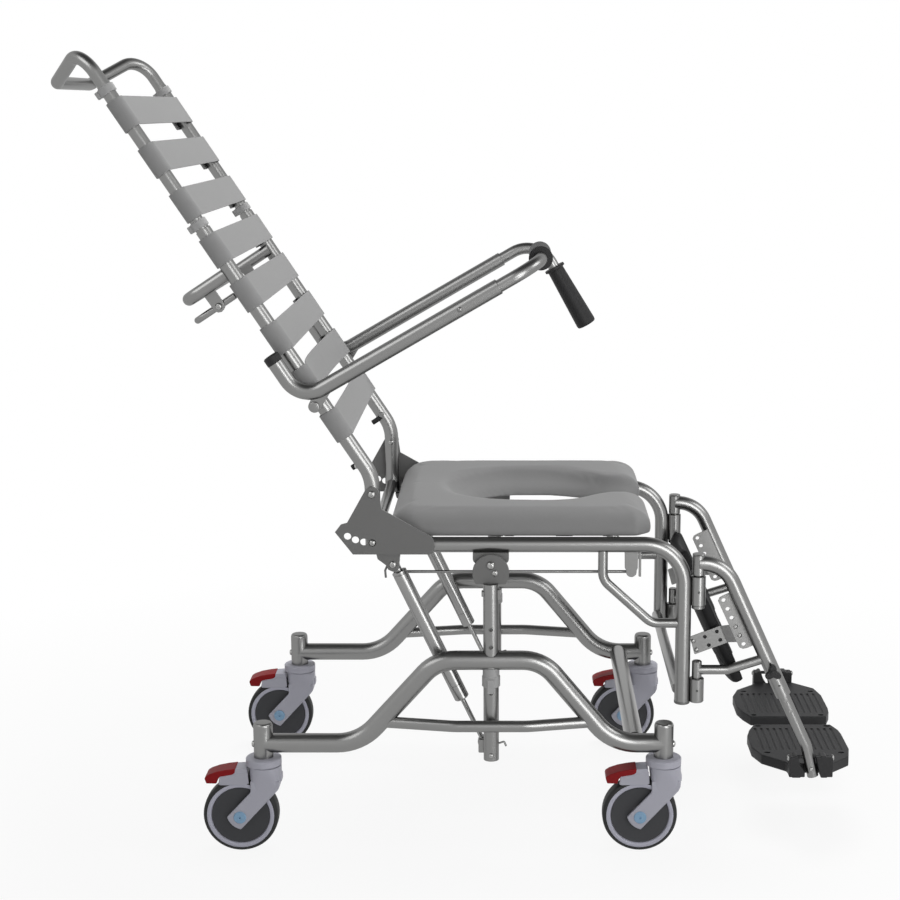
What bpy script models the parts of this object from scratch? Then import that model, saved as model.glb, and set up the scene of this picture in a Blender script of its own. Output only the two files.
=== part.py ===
"""Tilting shower commode chair, built as separate named pieces in metres.

+X is the chair's front, +Y its left side, +Z up. The floor is Z = 0.
The right side of the chair has Y < 0, and every pair of side pieces comes
from one function that is called with SIDE = -1 for right and +1 for left.
"""
import bmesh
import bpy
from math import atan2, ceil, cos, pi, radians, sin, sqrt, tan
from mathutils import Matrix, Vector

for leftover in list(bpy.data.objects):
    bpy.data.objects.remove(leftover, do_unlink=True)

# Clearances.
GAP = 0.0003            # between pieces that are fixed together
RUN = 0.0006            # between pieces that turn or slide on each other
TUBE_SIDES = 12         # facets round a tube, pin or bore

# Tube sizes.
BASE_TUBE_R = 0.016
FRAME_TUBE_R = 0.0127
INNER_TUBE_R = 0.0105
BRACE_R = 0.0095
SMALL_BRACE_R = 0.008

# Widths, each a distance from the centre plane.
RAIL_HALF = 0.225
POST_OUTSET = 0.025
TRACK_HALF = RAIL_HALF + POST_OUTSET
BACK_HALF = RAIL_HALF
SPRING_INSET = 0.010
SPRING_HALF = RAIL_HALF - SPRING_INSET
PAN_ROD_INSET = 0.035
PAN_ROD_HALF = RAIL_HALF - PAN_ROD_INSET
ARM_GAP = 0.0066
ARM_HALF = BACK_HALF + 2 * FRAME_TUBE_R + ARM_GAP
MID_BAR_INSET = 0.012
MID_BAR_HALF = BACK_HALF - MID_BAR_INSET
LEVER_INSET = 0.029
LEVER_HALF = BACK_HALF - LEVER_INSET
STRIP_INSET = 0.0125
STRIP_IN = RAIL_HALF - STRIP_INSET
PAD_OVERHANG = 0.001
PAD_HALF = RAIL_HALF + PAD_OVERHANG
PLATE_OVERHANG = 0.010
OVERRUN = 0.010         # how far a cut reaches past what it cuts
BORE_END_GAP = 0.004    # left between a sliding tube's end and the end of its bore

# Base: two arched side tubes on four casters.
POST_X = 0.051
REAR_STEM_DX = -0.378
REAR_STEM_X = POST_X + REAR_STEM_DX
FRONT_STEM_DX = 0.286
FRONT_STEM_X = POST_X + FRONT_STEM_DX
BASE_TUBE_Z = 0.1845
ARCH_TOP_Z = 0.3273
ARCH_REAR_LOW_DX = -0.2176
ARCH_REAR_LOW_X = POST_X + ARCH_REAR_LOW_DX
ARCH_REAR_TOP_DX = -0.089
ARCH_REAR_TOP_X = POST_X + ARCH_REAR_TOP_DX
ARCH_FRONT_TOP_DX = 0.0833
ARCH_FRONT_TOP_X = POST_X + ARCH_FRONT_TOP_DX
ARCH_FRONT_LOW_DX = 0.2015
ARCH_FRONT_LOW_X = POST_X + ARCH_FRONT_LOW_DX
ARCH_TOP_BEND = 0.067
ARCH_LOW_BEND = 0.085
SOCKET_BOTTOM_Z = 0.160
SOCKET_TOP_Z = 0.2207
SOCKET_CAP_BEVEL = 0.006
SIDE_BRACE_Z = 0.2215
SIDE_BRACE_STRAIGHT = 0.060
SIDE_BRACE_BEND = 0.080
BASE_CROSS_DX = 0.238
BASE_CROSS_X = POST_X + BASE_CROSS_DX

# Casters.
WHEEL_R = 0.0625
WHEEL_HALF_W = 0.015
WHEEL_TRAIL = 0.039
WHEEL_SIDES = 24
AXLE_R = 0.006
HUB_HALF_W = 0.0158
FORK_INNER = 0.0165
FORK_OUTER = 0.0225
COLLAR_R = 0.0295
COLLAR_BOTTOM_Z = 0.140
CROWN_GAP = 0.0045
CROWN_BOTTOM_Z = WHEEL_R * 2 + CROWN_GAP
CROWN_TOP_Z = COLLAR_BOTTOM_Z + 0.004
CROWN_FRONT = 0.028
CROWN_REAR = 0.018
NECK_R = 0.024
COLLAR_BEVEL = 0.004
HUB_R = 0.0145
WEB_R = 0.020
TYRE_DEPTH = 0.017
TYRE_SHOULDER = 0.009
PEDAL_HALF_W = 0.013
PEDAL_PIVOT_Z = 0.1375
# Outlines seen from the side: distance ahead of the caster's stem, and height.
FORK_LEG = ((CROWN_FRONT, CROWN_TOP_Z), (CROWN_FRONT, 0.112), (0.018, 0.097), (-0.026, 0.050),
            (-0.033, 0.0485), (-0.043, 0.0495), (-0.0515, 0.060), (-0.049, 0.071), (-CROWN_REAR, 0.100),
            (-CROWN_REAR, CROWN_TOP_Z))
PEDAL_ROOT = -COLLAR_R * cos(pi / TUBE_SIDES) - GAP
PEDAL_EDGE = ((-0.097, 0.130), (-0.093, 0.1195), (-0.062, 0.1285), (-0.040, 0.1305), (PEDAL_ROOT, 0.1305),
              (PEDAL_ROOT, 0.1460), (-0.044, 0.1490), (-0.072, 0.1435))

# Height posts and the tilt pivot.
POST_R = FRAME_TUBE_R
POST_BOTTOM_Z = 0.156
POST_TOP_Z = 0.470
PIVOT_Z = 0.488
PIVOT_PIN_R = 0.005
PIVOT_PLATE_R = 0.030
PIVOT_PLATE_DROP = 0.013
PIVOT_PLATE_FOOT_Z = 0.456
PIVOT_PLATE_T = 0.006
PIVOT_PLATE_OUT = TRACK_HALF
PIVOT_PLATE_IN = PIVOT_PLATE_OUT - PIVOT_PLATE_T
POST_HOLE_R = 0.0035
POST_HOLE_Z = (0.2744, 0.353, 0.3828)

# Seat frame.
RAIL_Z = 0.5167
RAIL_REAR_DX = -0.176
RAIL_REAR_X = POST_X + RAIL_REAR_DX
LEG_DX = 0.317
LEG_X = POST_X + LEG_DX
LEG_BOTTOM_Z = 0.2484
LEG_BEND = 0.066
SADDLE_HALF_L = 0.0295
SADDLE_INSET = 0.012
SADDLE_IN = RAIL_HALF - SADDLE_INSET
SADDLE_GAP = 0.0035
SADDLE_OUT = PIVOT_PLATE_IN - SADDLE_GAP
SEAT_BRACE_DX = 0.1835
SEAT_BRACE_X = POST_X + SEAT_BRACE_DX
SEAT_BRACE_HIGH_Z = 0.4575
SEAT_BRACE_LOW_DX = 0.2645
SEAT_BRACE_LOW_X = POST_X + SEAT_BRACE_LOW_DX
SEAT_BRACE_LOW_Z = 0.3835
SEAT_BRACE_BEND = 0.030
LEG_CROSS_Z = 0.268
LEG_CROSS_BACKSET = 0.007
PAN_ROD_R = 0.0025
PAN_ROD_Z = 0.4617
PAN_ROD_REAR_DX = -0.166
PAN_ROD_REAR_X = POST_X + PAN_ROD_REAR_DX
PAN_ROD_FRONT_DX = 0.235
PAN_ROD_FRONT_X = POST_X + PAN_ROD_FRONT_DX
PAN_ROD_BEND = 0.010

# Recline pivot, gusset plates and their index holes.
RECLINE_DX = -0.1926
RECLINE_X = POST_X + RECLINE_DX
RECLINE_Z = 0.604
RECLINE_PIN_R = 0.005
GUSSET_T = 0.004
INDEX_R = 0.0805
INDEX_STEP = radians(10.0)
INDEX_COUNT = 4
INDEX_HOLE_R = 0.006
LOBE_R = 0.0125
# Rear edge, foot and front edge of the plate: distance ahead of the post, and height.
GUSSET_EDGE = ((-0.2335, 0.5566), (-0.2434, 0.5539), (-0.2532, 0.5413), (-0.2245, 0.5041), (-0.0974, 0.5041),
               (-0.0908, 0.5170), (-0.0984, 0.5349), (-0.1774, 0.5795))

# Gas springs, in a plane inboard of the arch tubes.
SPRING_TOP_DX = -0.1598
SPRING_TOP_X = POST_X + SPRING_TOP_DX
SPRING_TOP_Z = 0.4862
SPRING_FOOT_DX = -0.0136
SPRING_FOOT_X = POST_X + SPRING_FOOT_DX
SPRING_FOOT_Z = 0.1753
SPRING_R = 0.0125
SPRING_START = 0.018
SPRING_LENGTH = 0.243
SPRING_BORE = 0.125
SPRING_NECK_R = 0.006
ROD_R = 0.004
ROD_INSIDE = 0.022
EYE_HALF_W = 0.008
UPPER_EYE_R = 0.0095
UPPER_PIN_R = 0.004
LOWER_EYE_R = 0.0095
LOWER_EYE_HOLE = 0.0066
LOWER_PIN_R = 0.003
LOWER_EYE_HALF_W = 0.006
SPRING_FOOT_T = 0.008
SPRING_FOOT_HALF_H = 0.012
SPRING_FOOT_NOSE = 0.008
LUG_REAR = 0.016
LUG_FRONT = 0.018
LUG_DROP = 0.012
PIN_PROUD = 0.0015

# Backrest.
BACK_LEAN = radians(33.3)
BACK_BEND_Z = 0.6309
BACK_BEND = 0.070
BACK_FOOT_Z = RECLINE_Z - 0.096
BACK_LENGTH = 0.745
BACK_CROSS_R = BRACE_R
BAND_COUNT = 8
BAND_WIDTH = 0.052
BAND_PITCH = 0.084
BAND_FIRST = 0.0764
BAND_T = 0.0022
BAND_RETURN = 0.038
BAND_SLACK_INDEX = 1
BAND_SLACK = 0.020
HANDLE_TUBE_R = INNER_TUBE_R
HANDLE_INSIDE = 0.085
HANDLE_RISE = 0.075
HANDLE_CORNER_HALF = 0.112
HANDLE_CORNER_DX = -0.065
HANDLE_CORNER_DZ = -0.050
HANDLE_TOP_BEND = 0.042
HANDLE_CORNER_BEND = 0.022
MID_BAR_R = 0.0105
MID_BAR_ALONG = 0.3985
MID_BAR_REACH = 0.0885
MID_BAR_BEND = 0.022
LEVER_ALONG = 0.363
LEVER_BEHIND = 0.0528
LEVER_R = 0.0055
LEVER_TAIL = 0.046
LEVER_NOSE = 0.030
LEVER_BOSS_R = 0.0085
LEVER_PLATE_T = 0.003
LEVER_BEND = 0.014
LEVER_PLATE_TOP = MID_BAR_ALONG - LEVER_ALONG
# Outline of a lever plate: distance up the back and ahead, both from the lever's pivot.
LEVER_PLATE_EDGE = ((LEVER_PLATE_TOP, 0.0115), (0.004, 0.010), (-0.007, 0.007), (-0.009, 0.0),
                    (-0.007, -0.007), (0.0, -0.011), (LEVER_PLATE_TOP, -0.0155))

# Arms, mounted outboard of the back tubes.
ARM_RISE = radians(30.0)
ARM_CORNER_DX = -0.3011
ARM_CORNER_X = POST_X + ARM_CORNER_DX
ARM_CORNER_Z = 0.7607
ARM_TAIL = 0.088
ARM_BEND = 0.041
ARM_REACH = 0.364
ARM_PIVOT_DX = -0.280
ARM_PIVOT_X = POST_X + ARM_PIVOT_DX
ARM_PIVOT_Z = 0.751
ARM_BOSS_R = 0.008
ARM_BOSS_PROUD = 0.006
ARM_LUG_T = 0.004
ARM_LUG_R = 0.010
# Upper corners of the pivot lug: distance ahead of the arm's bend, and below it.
ARM_LUG_EDGE = ((0.004, -0.004), (0.050, -0.004), (0.050, 0.006), (0.034, 0.030))
GRIP_CORNER = 0.441
GRIP_BEND = 0.052
GRIP_START = 0.062
GRIP_LENGTH = 0.124
GRIP_R = 0.015
GRIP_END_R = 0.0185
GRIP_FLANGE_R = 0.0195
GRIP_FLANGE_T = 0.005
GRIP_INSIDE = 0.060

# Legrests.
STUB_X = LEG_X + 0.0238
STUB_SOCKET_R = 0.012
STUB_R = 0.010
LOWER_STUB_R = 0.007
UPPER_SOCKET_Z = (0.414, 0.465)
LOWER_SOCKET_Z = (0.2484, 0.290)
STUB_PIN_R = 0.0070
SOCKET_FLOOR = 0.008
STUB_PIN_LIFT = 0.002
STUB_TOP_Z = 0.5015
LOWER_STUB_TOP_Z = 0.3186
HANGER_Z = 0.4855
HANGER_CORNER_DX = 0.3824
HANGER_CORNER_X = POST_X + HANGER_CORNER_DX
HANGER_SLOPE = 0.457
HANGER_END_Z = 0.259
HANGER_BEND = 0.056
HANGER_BORE = 0.150
LEG_TUBE_R = BRACE_R
LEG_TUBE_INSIDE = 0.105
LEG_TUBE_KNEE_Z = 0.170
LEG_TUBE_END_DX = 0.5395
LEG_TUBE_END_X = POST_X + LEG_TUBE_END_DX
LEG_TUBE_END_Z = 0.117
LEG_TUBE_BEND = 0.040
STAY_Z = 0.303
STAY_KNEE_DX = 0.391
STAY_KNEE_X = POST_X + STAY_KNEE_DX
STAY_END_Z = 0.3238
STAY_BEND = 0.030
STRIP_T = 0.003
STRIP_HOLES = 6
STRIP_HOLE_R = 0.0035
CALF_DX = 0.367
CALF_X = POST_X + CALF_DX
CALF_Z = 0.353
CALF_HEIGHT = 0.165
CALF_WIDTH = 0.150
CALF_T = 0.016
CALF_DISH = 0.009
STRIP_TOP_DX = 0.383
STRIP_TOP_Z = 0.421
STRIP_LOW_DX = 0.418
STRIP_LOW_Z = 0.3455
STRIP_REAR = 0.009
STRIP_FRONT = 0.024
STRIP_END = 0.012
STRIP_ARM_LOW = 0.004
STRIP_ARM_HIGH = 0.040
# Corners of the arm on the calf pad: distance ahead of the pad's centre, and above it.
STRIP_ARM_END = ((0.0123, -0.0422), (-0.0037, -0.0022))

# Footplates, hinged along X on the leg tubes.
PLATE_HINGE_Z = 0.1506
PLATE_TOP_Z = 0.134
PLATE_BOTTOM_Z = 0.1165
PLATE_NOTCH_DX = (0.518, 0.551)
PLATE_NOTCH = tuple(POST_X + dx for dx in PLATE_NOTCH_DX)
PLATE_EAR_W = 0.020
PLATE_EAR_TOP_Z = 0.158
PLATE_EAR_HALF_D = 0.011
PLATE_PIN_R = 0.003
PLATE_CENTRE_GAP = 0.020
PLATE_NOTCH_DEPTH = 0.0125
# Inner edge with its corners: distance ahead of the post, and past the inner edge.
PLATE_INNER_EDGE = ((0.448, 0.056), (0.455, 0.028), (0.467, 0.0), (0.604, 0.0), (0.613, 0.028),
                    (0.615, 0.048), (0.615, 0.121))
# Outer corners at the front and at the rear: distance ahead of the post, and inside the hinge line.
PLATE_FRONT_EDGE = ((0.6075, 0.045), (0.571, 0.0095))
PLATE_REAR_EDGE = ((0.4965, 0.019), (0.460, 0.054), (0.448, 0.090))
PLATE_FRONT_TOE_DX = 0.562
PLATE_REAR_TOE_DX = 0.503

# Seat pad.
PAD_FOOT_H = 0.0022
PAD_H = 0.042
PAD_BOTTOM_Z = RAIL_Z + FRAME_TUBE_R + PAD_FOOT_H
PAD_TOP_Z = PAD_BOTTOM_Z + PAD_H
PAD_REAR_DX = -0.156
PAD_REAR_X = POST_X + PAD_REAR_DX
PAD_FRONT_DX = 0.261
PAD_FRONT_X = POST_X + PAD_FRONT_DX
PAD_REAR_CORNER = 0.062
PAD_FRONT_CORNER = 0.030
PAD_HOLE_REAR_DX = -0.041
PAD_HOLE_REAR_X = POST_X + PAD_HOLE_REAR_DX
PAD_HOLE_HALF = 0.076
PAD_HOLE_FRONT_DX = 0.150
PAD_HOLE_FRONT_X = POST_X + PAD_HOLE_FRONT_DX
PAD_SLOT_HALF = 0.042
PAD_FOOT_DX = (0.010, 0.120)
PAD_FOOT_X = tuple(POST_X + dx for dx in PAD_FOOT_DX)
PAD_FOOT_HALF_L = 0.012
PAD_FOOT_W = 0.016

STEEL = ((0.56, 0.56, 0.56), 0.9, 0.35)
GREY_BAND = ((0.33, 0.33, 0.33), 0.0, 0.55)
GREY_PAD = ((0.24, 0.24, 0.24), 0.0, 0.5)
DARK_STEEL = ((0.17, 0.17, 0.17), 0.6, 0.5)
BLACK = ((0.02, 0.02, 0.02), 0.0, 0.5)
SPRING_GREY = ((0.5, 0.5, 0.5), 0.8, 0.4)
CASTER_GREY = ((0.36, 0.36, 0.42), 0.0, 0.45)
TYRE_DARK = ((0.03, 0.03, 0.035), 0.0, 0.6)
PEDAL_RED = ((0.32, 0.012, 0.012), 0.0, 0.4)


def fillet(points, radii):
    """Round the inner corners of a polyline; radii has one value per inner corner."""
    path = [Vector(points[0])]
    for before, corner, after, radius in zip(points, points[1:], points[2:], radii):
        here = Vector(corner)
        back = (Vector(before) - here).normalized()
        ahead = (Vector(after) - here).normalized()
        opening = back.angle(ahead)
        turn = pi - opening
        centre = here + (back + ahead).normalized() * radius / sin(opening / 2)
        start = here + back * radius / tan(opening / 2) - centre
        axis = back.cross(ahead).normalized()
        steps = max(2, ceil(turn / radians(23)))
        for i in range(steps + 1):
            path.append(centre + Matrix.Rotation(-turn * i / steps, 3, axis) @ start)
    path.append(Vector(points[-1]))
    return path


def tube_mesh(path, radius, sides=TUBE_SIDES):
    """Sweep a circle along a path; radius is one value or one per path point."""
    sizes = radius if isinstance(radius, list) else [radius] * len(path)
    bm = bmesh.new()
    rings = []
    normal = None
    for i, point in enumerate(path):
        ahead = next((p - point for p in path[i + 1:] if (p - point).length > 1e-7), None)
        behind = next((point - p for p in path[i - 1::-1] if (point - p).length > 1e-7), None) if i else None
        tangent = Vector()
        for part in (ahead, behind):
            if part is not None:
                tangent += part.normalized()
        tangent.normalize()
        if normal is None:
            normal = tangent.orthogonal().normalized()
            if abs(tangent.y) < 0.9:
                normal = tangent.cross(Vector((0, 1, 0))).normalized()
        normal = (normal - tangent * normal.dot(tangent)).normalized()
        side = tangent.cross(normal)
        ring = []
        for k in range(sides):
            angle = 2 * pi * (k + 0.5) / sides
            ring.append(bm.verts.new(point + (normal * cos(angle) + side * sin(angle)) * sizes[i]))
        rings.append(ring)
    for low, high in zip(rings, rings[1:]):
        for k in range(sides):
            n = (k + 1) % sides
            bm.faces.new((low[k], low[n], high[n], high[k]))
    bm.faces.new(list(reversed(rings[0])))
    bm.faces.new(rings[-1])
    return bm


def wheel_mesh(centre, profile, sides):
    """Turn a closed profile of (across, radius) pairs round an axis along Y."""
    bm = bmesh.new()
    rings = []
    for across, radius in profile:
        ring = []
        for k in range(sides):
            angle = 2 * pi * (k + 0.5) / sides - pi / 2
            out = Vector((radius * cos(angle), across, radius * sin(angle)))
            ring.append(bm.verts.new(Vector(centre) + out))
        rings.append(ring)
    for low, high in zip(rings, rings[1:] + rings[:1]):
        for k in range(sides):
            n = (k + 1) % sides
            bm.faces.new((low[k], low[n], high[n], high[k]))
    return bm


def tube(points, radius, radii=(), sides=TUBE_SIDES):
    """A bent tube along a polyline with rounded corners."""
    return tube_mesh(fillet(points, radii), radius, sides)


def rod(start, end, radius, sides=TUBE_SIDES):
    """A straight round bar."""
    return tube_mesh([Vector(start), Vector(end)], radius, sides)


def slab(outline, place, low, high):
    """Extrude a flat outline; place turns (a, b, depth) into a point."""
    bm = bmesh.new()
    floor = [bm.verts.new(place(a, b, low)) for a, b in outline]
    roof = [bm.verts.new(place(a, b, high)) for a, b in outline]
    for k in range(len(outline)):
        n = (k + 1) % len(outline)
        bm.faces.new((floor[k], floor[n], roof[n], roof[k]))
    bm.faces.new(list(reversed(floor)))
    bm.faces.new(roof)
    return bm


def side_plate(outline, side, inner, outer):
    """A plate in the XZ plane between two distances from the centre plane."""
    return slab(outline, lambda x, z, y: (x, side * y, z), inner, outer)


def box(low, high):
    """A block between two corners."""
    outline = [(low[0], low[1]), (high[0], low[1]), (high[0], high[1]), (low[0], high[1])]
    return slab(outline, lambda x, y, z: (x, y, z), low[2], high[2])


def as_object(bm, name):
    """Turn a bmesh into a scene object with faces that look outward."""
    bmesh.ops.recalc_face_normals(bm, faces=bm.faces)
    mesh = bpy.data.meshes.new(name)
    bm.to_mesh(mesh)
    bm.free()
    obj = bpy.data.objects.new(name, mesh)
    bpy.context.scene.collection.objects.link(obj)
    return obj


def combine(body, tools, operation):
    """Join tools to a body, or cut them out of it, one after another."""
    for tool in tools:
        cutter = as_object(tool, "cutter")
        cutter.hide_render = True
        cutter.display_type = "WIRE"
        step = body.modifiers.new("step", "BOOLEAN")
        step.operation = operation
        step.solver = "EXACT"
        step.object = cutter
        bpy.context.view_layer.update()
        graph = bpy.context.evaluated_depsgraph_get()
        result = bpy.data.meshes.new_from_object(body.evaluated_get(graph))
        body.modifiers.clear()
        spent = body.data
        body.data = result
        bpy.data.meshes.remove(spent)
        bpy.data.objects.remove(cutter, do_unlink=True)
    return body


def piece(name, bm, finish, add=(), cut=(), origin=(0, 0, 0)):
    """Make one finished piece, with its origin on its joint axis."""
    obj = as_object(bm, name)
    combine(obj, add, "UNION")
    combine(obj, cut, "DIFFERENCE")
    tidy = bmesh.new()
    tidy.from_mesh(obj.data)
    bmesh.ops.remove_doubles(tidy, verts=tidy.verts, dist=0.00001)
    bmesh.ops.dissolve_degenerate(tidy, dist=0.00001, edges=tidy.edges)
    bmesh.ops.translate(tidy, verts=tidy.verts, vec=-Vector(origin))
    bmesh.ops.recalc_face_normals(tidy, faces=tidy.faces)
    tidy.to_mesh(obj.data)
    tidy.free()
    obj.data.name = name
    obj.location = origin
    colour, metallic, roughness = finish
    material = bpy.data.materials.new(name)
    material.use_nodes = True
    shader = material.node_tree.nodes["Principled BSDF"]
    shader.inputs["Base Color"].default_value = (*colour, 1.0)
    shader.inputs["Metallic"].default_value = metallic
    shader.inputs["Roughness"].default_value = roughness
    obj.data.materials.clear()
    obj.data.materials.append(material)
    return obj


def side_name(side):
    """The chair's own right is -Y."""
    return "right" if side < 0 else "left"


# Base.
def arch_path(side):
    """Centre line of one side tube, from the rear stem to the front stem."""
    y = side * TRACK_HALF
    points = [(REAR_STEM_X, y, BASE_TUBE_Z), (ARCH_REAR_LOW_X, y, BASE_TUBE_Z),
              (ARCH_REAR_TOP_X, y, ARCH_TOP_Z), (ARCH_FRONT_TOP_X, y, ARCH_TOP_Z),
              (ARCH_FRONT_LOW_X, y, BASE_TUBE_Z), (FRONT_STEM_X, y, BASE_TUBE_Z)]
    return points, (ARCH_LOW_BEND, ARCH_TOP_BEND, ARCH_TOP_BEND, ARCH_LOW_BEND)


def arch_x(z, low_x, top_x):
    """Where a sloping leg of the arch is at a given height."""
    return low_x + (top_x - low_x) * (z - BASE_TUBE_Z) / (ARCH_TOP_Z - BASE_TUBE_Z)


def stem_socket(x, side):
    """Upright socket for a caster, with a rounded top."""
    y = side * TRACK_HALF
    heights = (SOCKET_BOTTOM_Z, SOCKET_TOP_Z - SOCKET_CAP_BEVEL, SOCKET_TOP_Z)
    sizes = [BASE_TUBE_R, BASE_TUBE_R, BASE_TUBE_R - SOCKET_CAP_BEVEL * 0.8]
    return tube_mesh([Vector((x, y, z)) for z in heights], sizes)


def build_base():
    """Two arched sides, two bowed side braces and a cross tube."""
    for side in (-1, 1):
        points, bends = arch_path(side)
        y = side * TRACK_HALF
        reach = 2 * BASE_TUBE_R
        bore = rod((POST_X, y, ARCH_TOP_Z - reach), (POST_X, y, ARCH_TOP_Z + reach), POST_R + RUN)
        piece(f"base_side_{side_name(side)}", tube(points, BASE_TUBE_R, bends), STEEL,
              add=[stem_socket(REAR_STEM_X, side), stem_socket(FRONT_STEM_X, side)], cut=[bore])
        bow = side * (TRACK_HALF + POST_R + BRACE_R + 2 * RUN)
        run = [(arch_x(SIDE_BRACE_Z, ARCH_REAR_LOW_X, ARCH_REAR_TOP_X), y, SIDE_BRACE_Z),
               (POST_X - SIDE_BRACE_STRAIGHT, bow, SIDE_BRACE_Z),
               (POST_X + SIDE_BRACE_STRAIGHT, bow, SIDE_BRACE_Z),
               (arch_x(SIDE_BRACE_Z, ARCH_FRONT_LOW_X, ARCH_FRONT_TOP_X), y, SIDE_BRACE_Z)]
        piece(f"base_brace_{side_name(side)}", tube(run, BRACE_R, (SIDE_BRACE_BEND, SIDE_BRACE_BEND)), STEEL,
              cut=[tube(points, BASE_TUBE_R + GAP, bends)])
    cope = []
    for side in (-1, 1):
        points, bends = arch_path(side)
        cope.append(tube(points, BASE_TUBE_R + GAP, bends))
    reach = TRACK_HALF - BASE_TUBE_R * 0.6
    piece("base_cross", rod((BASE_CROSS_X, -reach, BASE_TUBE_Z), (BASE_CROSS_X, reach, BASE_TUBE_Z),
                            BASE_TUBE_R * 0.97), STEEL, cut=cope)


# Casters.
def build_caster(name, x, side):
    """Fork with its collar and axle, one wheel and one brake pedal."""
    y = side * TRACK_HALF
    axle_x = x - WHEEL_TRAIL
    outline = [(x + dx, z) for dx, z in FORK_LEG]
    heights = (CROWN_BOTTOM_Z + RUN, COLLAR_BOTTOM_Z, SOCKET_BOTTOM_Z - COLLAR_BEVEL, SOCKET_BOTTOM_Z - GAP)
    collar = tube_mesh([Vector((x, y, z)) for z in heights],
                       [NECK_R, COLLAR_R, COLLAR_R, COLLAR_R - COLLAR_BEVEL])
    crown = box((x - CROWN_REAR, y - FORK_OUTER, CROWN_BOTTOM_Z),
                (x + CROWN_FRONT, y + FORK_OUTER, CROWN_TOP_Z))
    legs = [slab(outline, lambda a, b, d: (a, y + d, b), low, high)
            for low, high in ((-FORK_OUTER, -FORK_INNER), (FORK_INNER, FORK_OUTER))]
    reach = (FORK_OUTER + FORK_INNER) / 2
    axle = rod((axle_x, y - reach, WHEEL_R), (axle_x, y + reach, WHEEL_R), AXLE_R)
    piece(f"caster_fork_{name}", collar, CASTER_GREY, add=[crown, *legs, axle],
          origin=(x, y, COLLAR_BOTTOM_Z))

    rim = WHEEL_R / cos(pi / WHEEL_SIDES)
    web = WHEEL_HALF_W * 0.55
    half = [(-HUB_HALF_W, AXLE_R + RUN), (-HUB_HALF_W, HUB_R), (-web, WEB_R), (-web, rim - TYRE_DEPTH),
            (-WHEEL_HALF_W, rim - TYRE_SHOULDER), (-WHEEL_HALF_W * 0.5, rim)]
    profile = half + [(-d, r) for d, r in reversed(half)]
    piece(f"caster_wheel_{name}", wheel_mesh((axle_x, y, WHEEL_R), profile, WHEEL_SIDES), TYRE_DARK,
          origin=(axle_x, y, WHEEL_R))

    edge = [(x + dx, z) for dx, z in PEDAL_EDGE]
    toe = slab(edge, lambda a, b, d: (a, y + d, b), -PEDAL_HALF_W, PEDAL_HALF_W)
    piece(f"caster_pedal_{name}", toe, PEDAL_RED, origin=(x + PEDAL_ROOT, y, PEDAL_PIVOT_Z))


# Height posts with the lower half of the tilt pivot.
def build_posts():
    """Upright posts that slide through the arches and carry the pivot plates."""
    for side in (-1, 1):
        y = side * TRACK_HALF
        plate = []
        centre_z = PIVOT_Z - PIVOT_PLATE_DROP
        start = atan2(PIVOT_PLATE_FOOT_Z - centre_z, PIVOT_PLATE_R)
        for i in range(13):
            angle = start + (pi - 2 * start) * i / 12
            plate.append((POST_X + PIVOT_PLATE_R * cos(angle), centre_z + PIVOT_PLATE_R * sin(angle)))
        wall = TRACK_HALF - POST_R
        low, high = sorted((side * (wall - SPRING_FOOT_T / 2), side * (wall + SPRING_FOOT_T / 2)))
        foot = box((SPRING_FOOT_X - SPRING_FOOT_NOSE, low, SPRING_FOOT_Z - SPRING_FOOT_HALF_H),
                   (POST_X, high, SPRING_FOOT_Z + SPRING_FOOT_HALF_H))
        pin_end = SPRING_HALF - LOWER_EYE_HALF_W - PIN_PROUD
        pin = rod((SPRING_FOOT_X, side * wall, SPRING_FOOT_Z),
                  (SPRING_FOOT_X, side * pin_end, SPRING_FOOT_Z), LOWER_PIN_R)
        holes = [rod((POST_X, y - POST_R - OVERRUN, z), (POST_X, y + POST_R + OVERRUN, z), POST_HOLE_R, 8)
                 for z in POST_HOLE_Z]
        holes.append(rod((POST_X, side * (PIVOT_PLATE_IN - OVERRUN), PIVOT_Z),
                         (POST_X, side * (PIVOT_PLATE_OUT + OVERRUN), PIVOT_Z), PIVOT_PIN_R + RUN))
        piece(f"post_{side_name(side)}", rod((POST_X, y, POST_BOTTOM_Z), (POST_X, y, POST_TOP_Z), POST_R),
              STEEL, add=[side_plate(plate, side, PIVOT_PLATE_IN, PIVOT_PLATE_OUT), foot, pin], cut=holes)


# Seat frame.
def rail_path(side):
    """Centre line of one seat rail and its front leg."""
    y = side * RAIL_HALF
    return [(RAIL_REAR_X, y, RAIL_Z), (LEG_X, y, RAIL_Z), (LEG_X, y, LEG_BOTTOM_Z)], (LEG_BEND,)


def fat_rail(side):
    """The rail with the fixing gap round it, to shape what ends on it."""
    points, bends = rail_path(side)
    return tube(points, FRAME_TUBE_R + GAP, bends)


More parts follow.
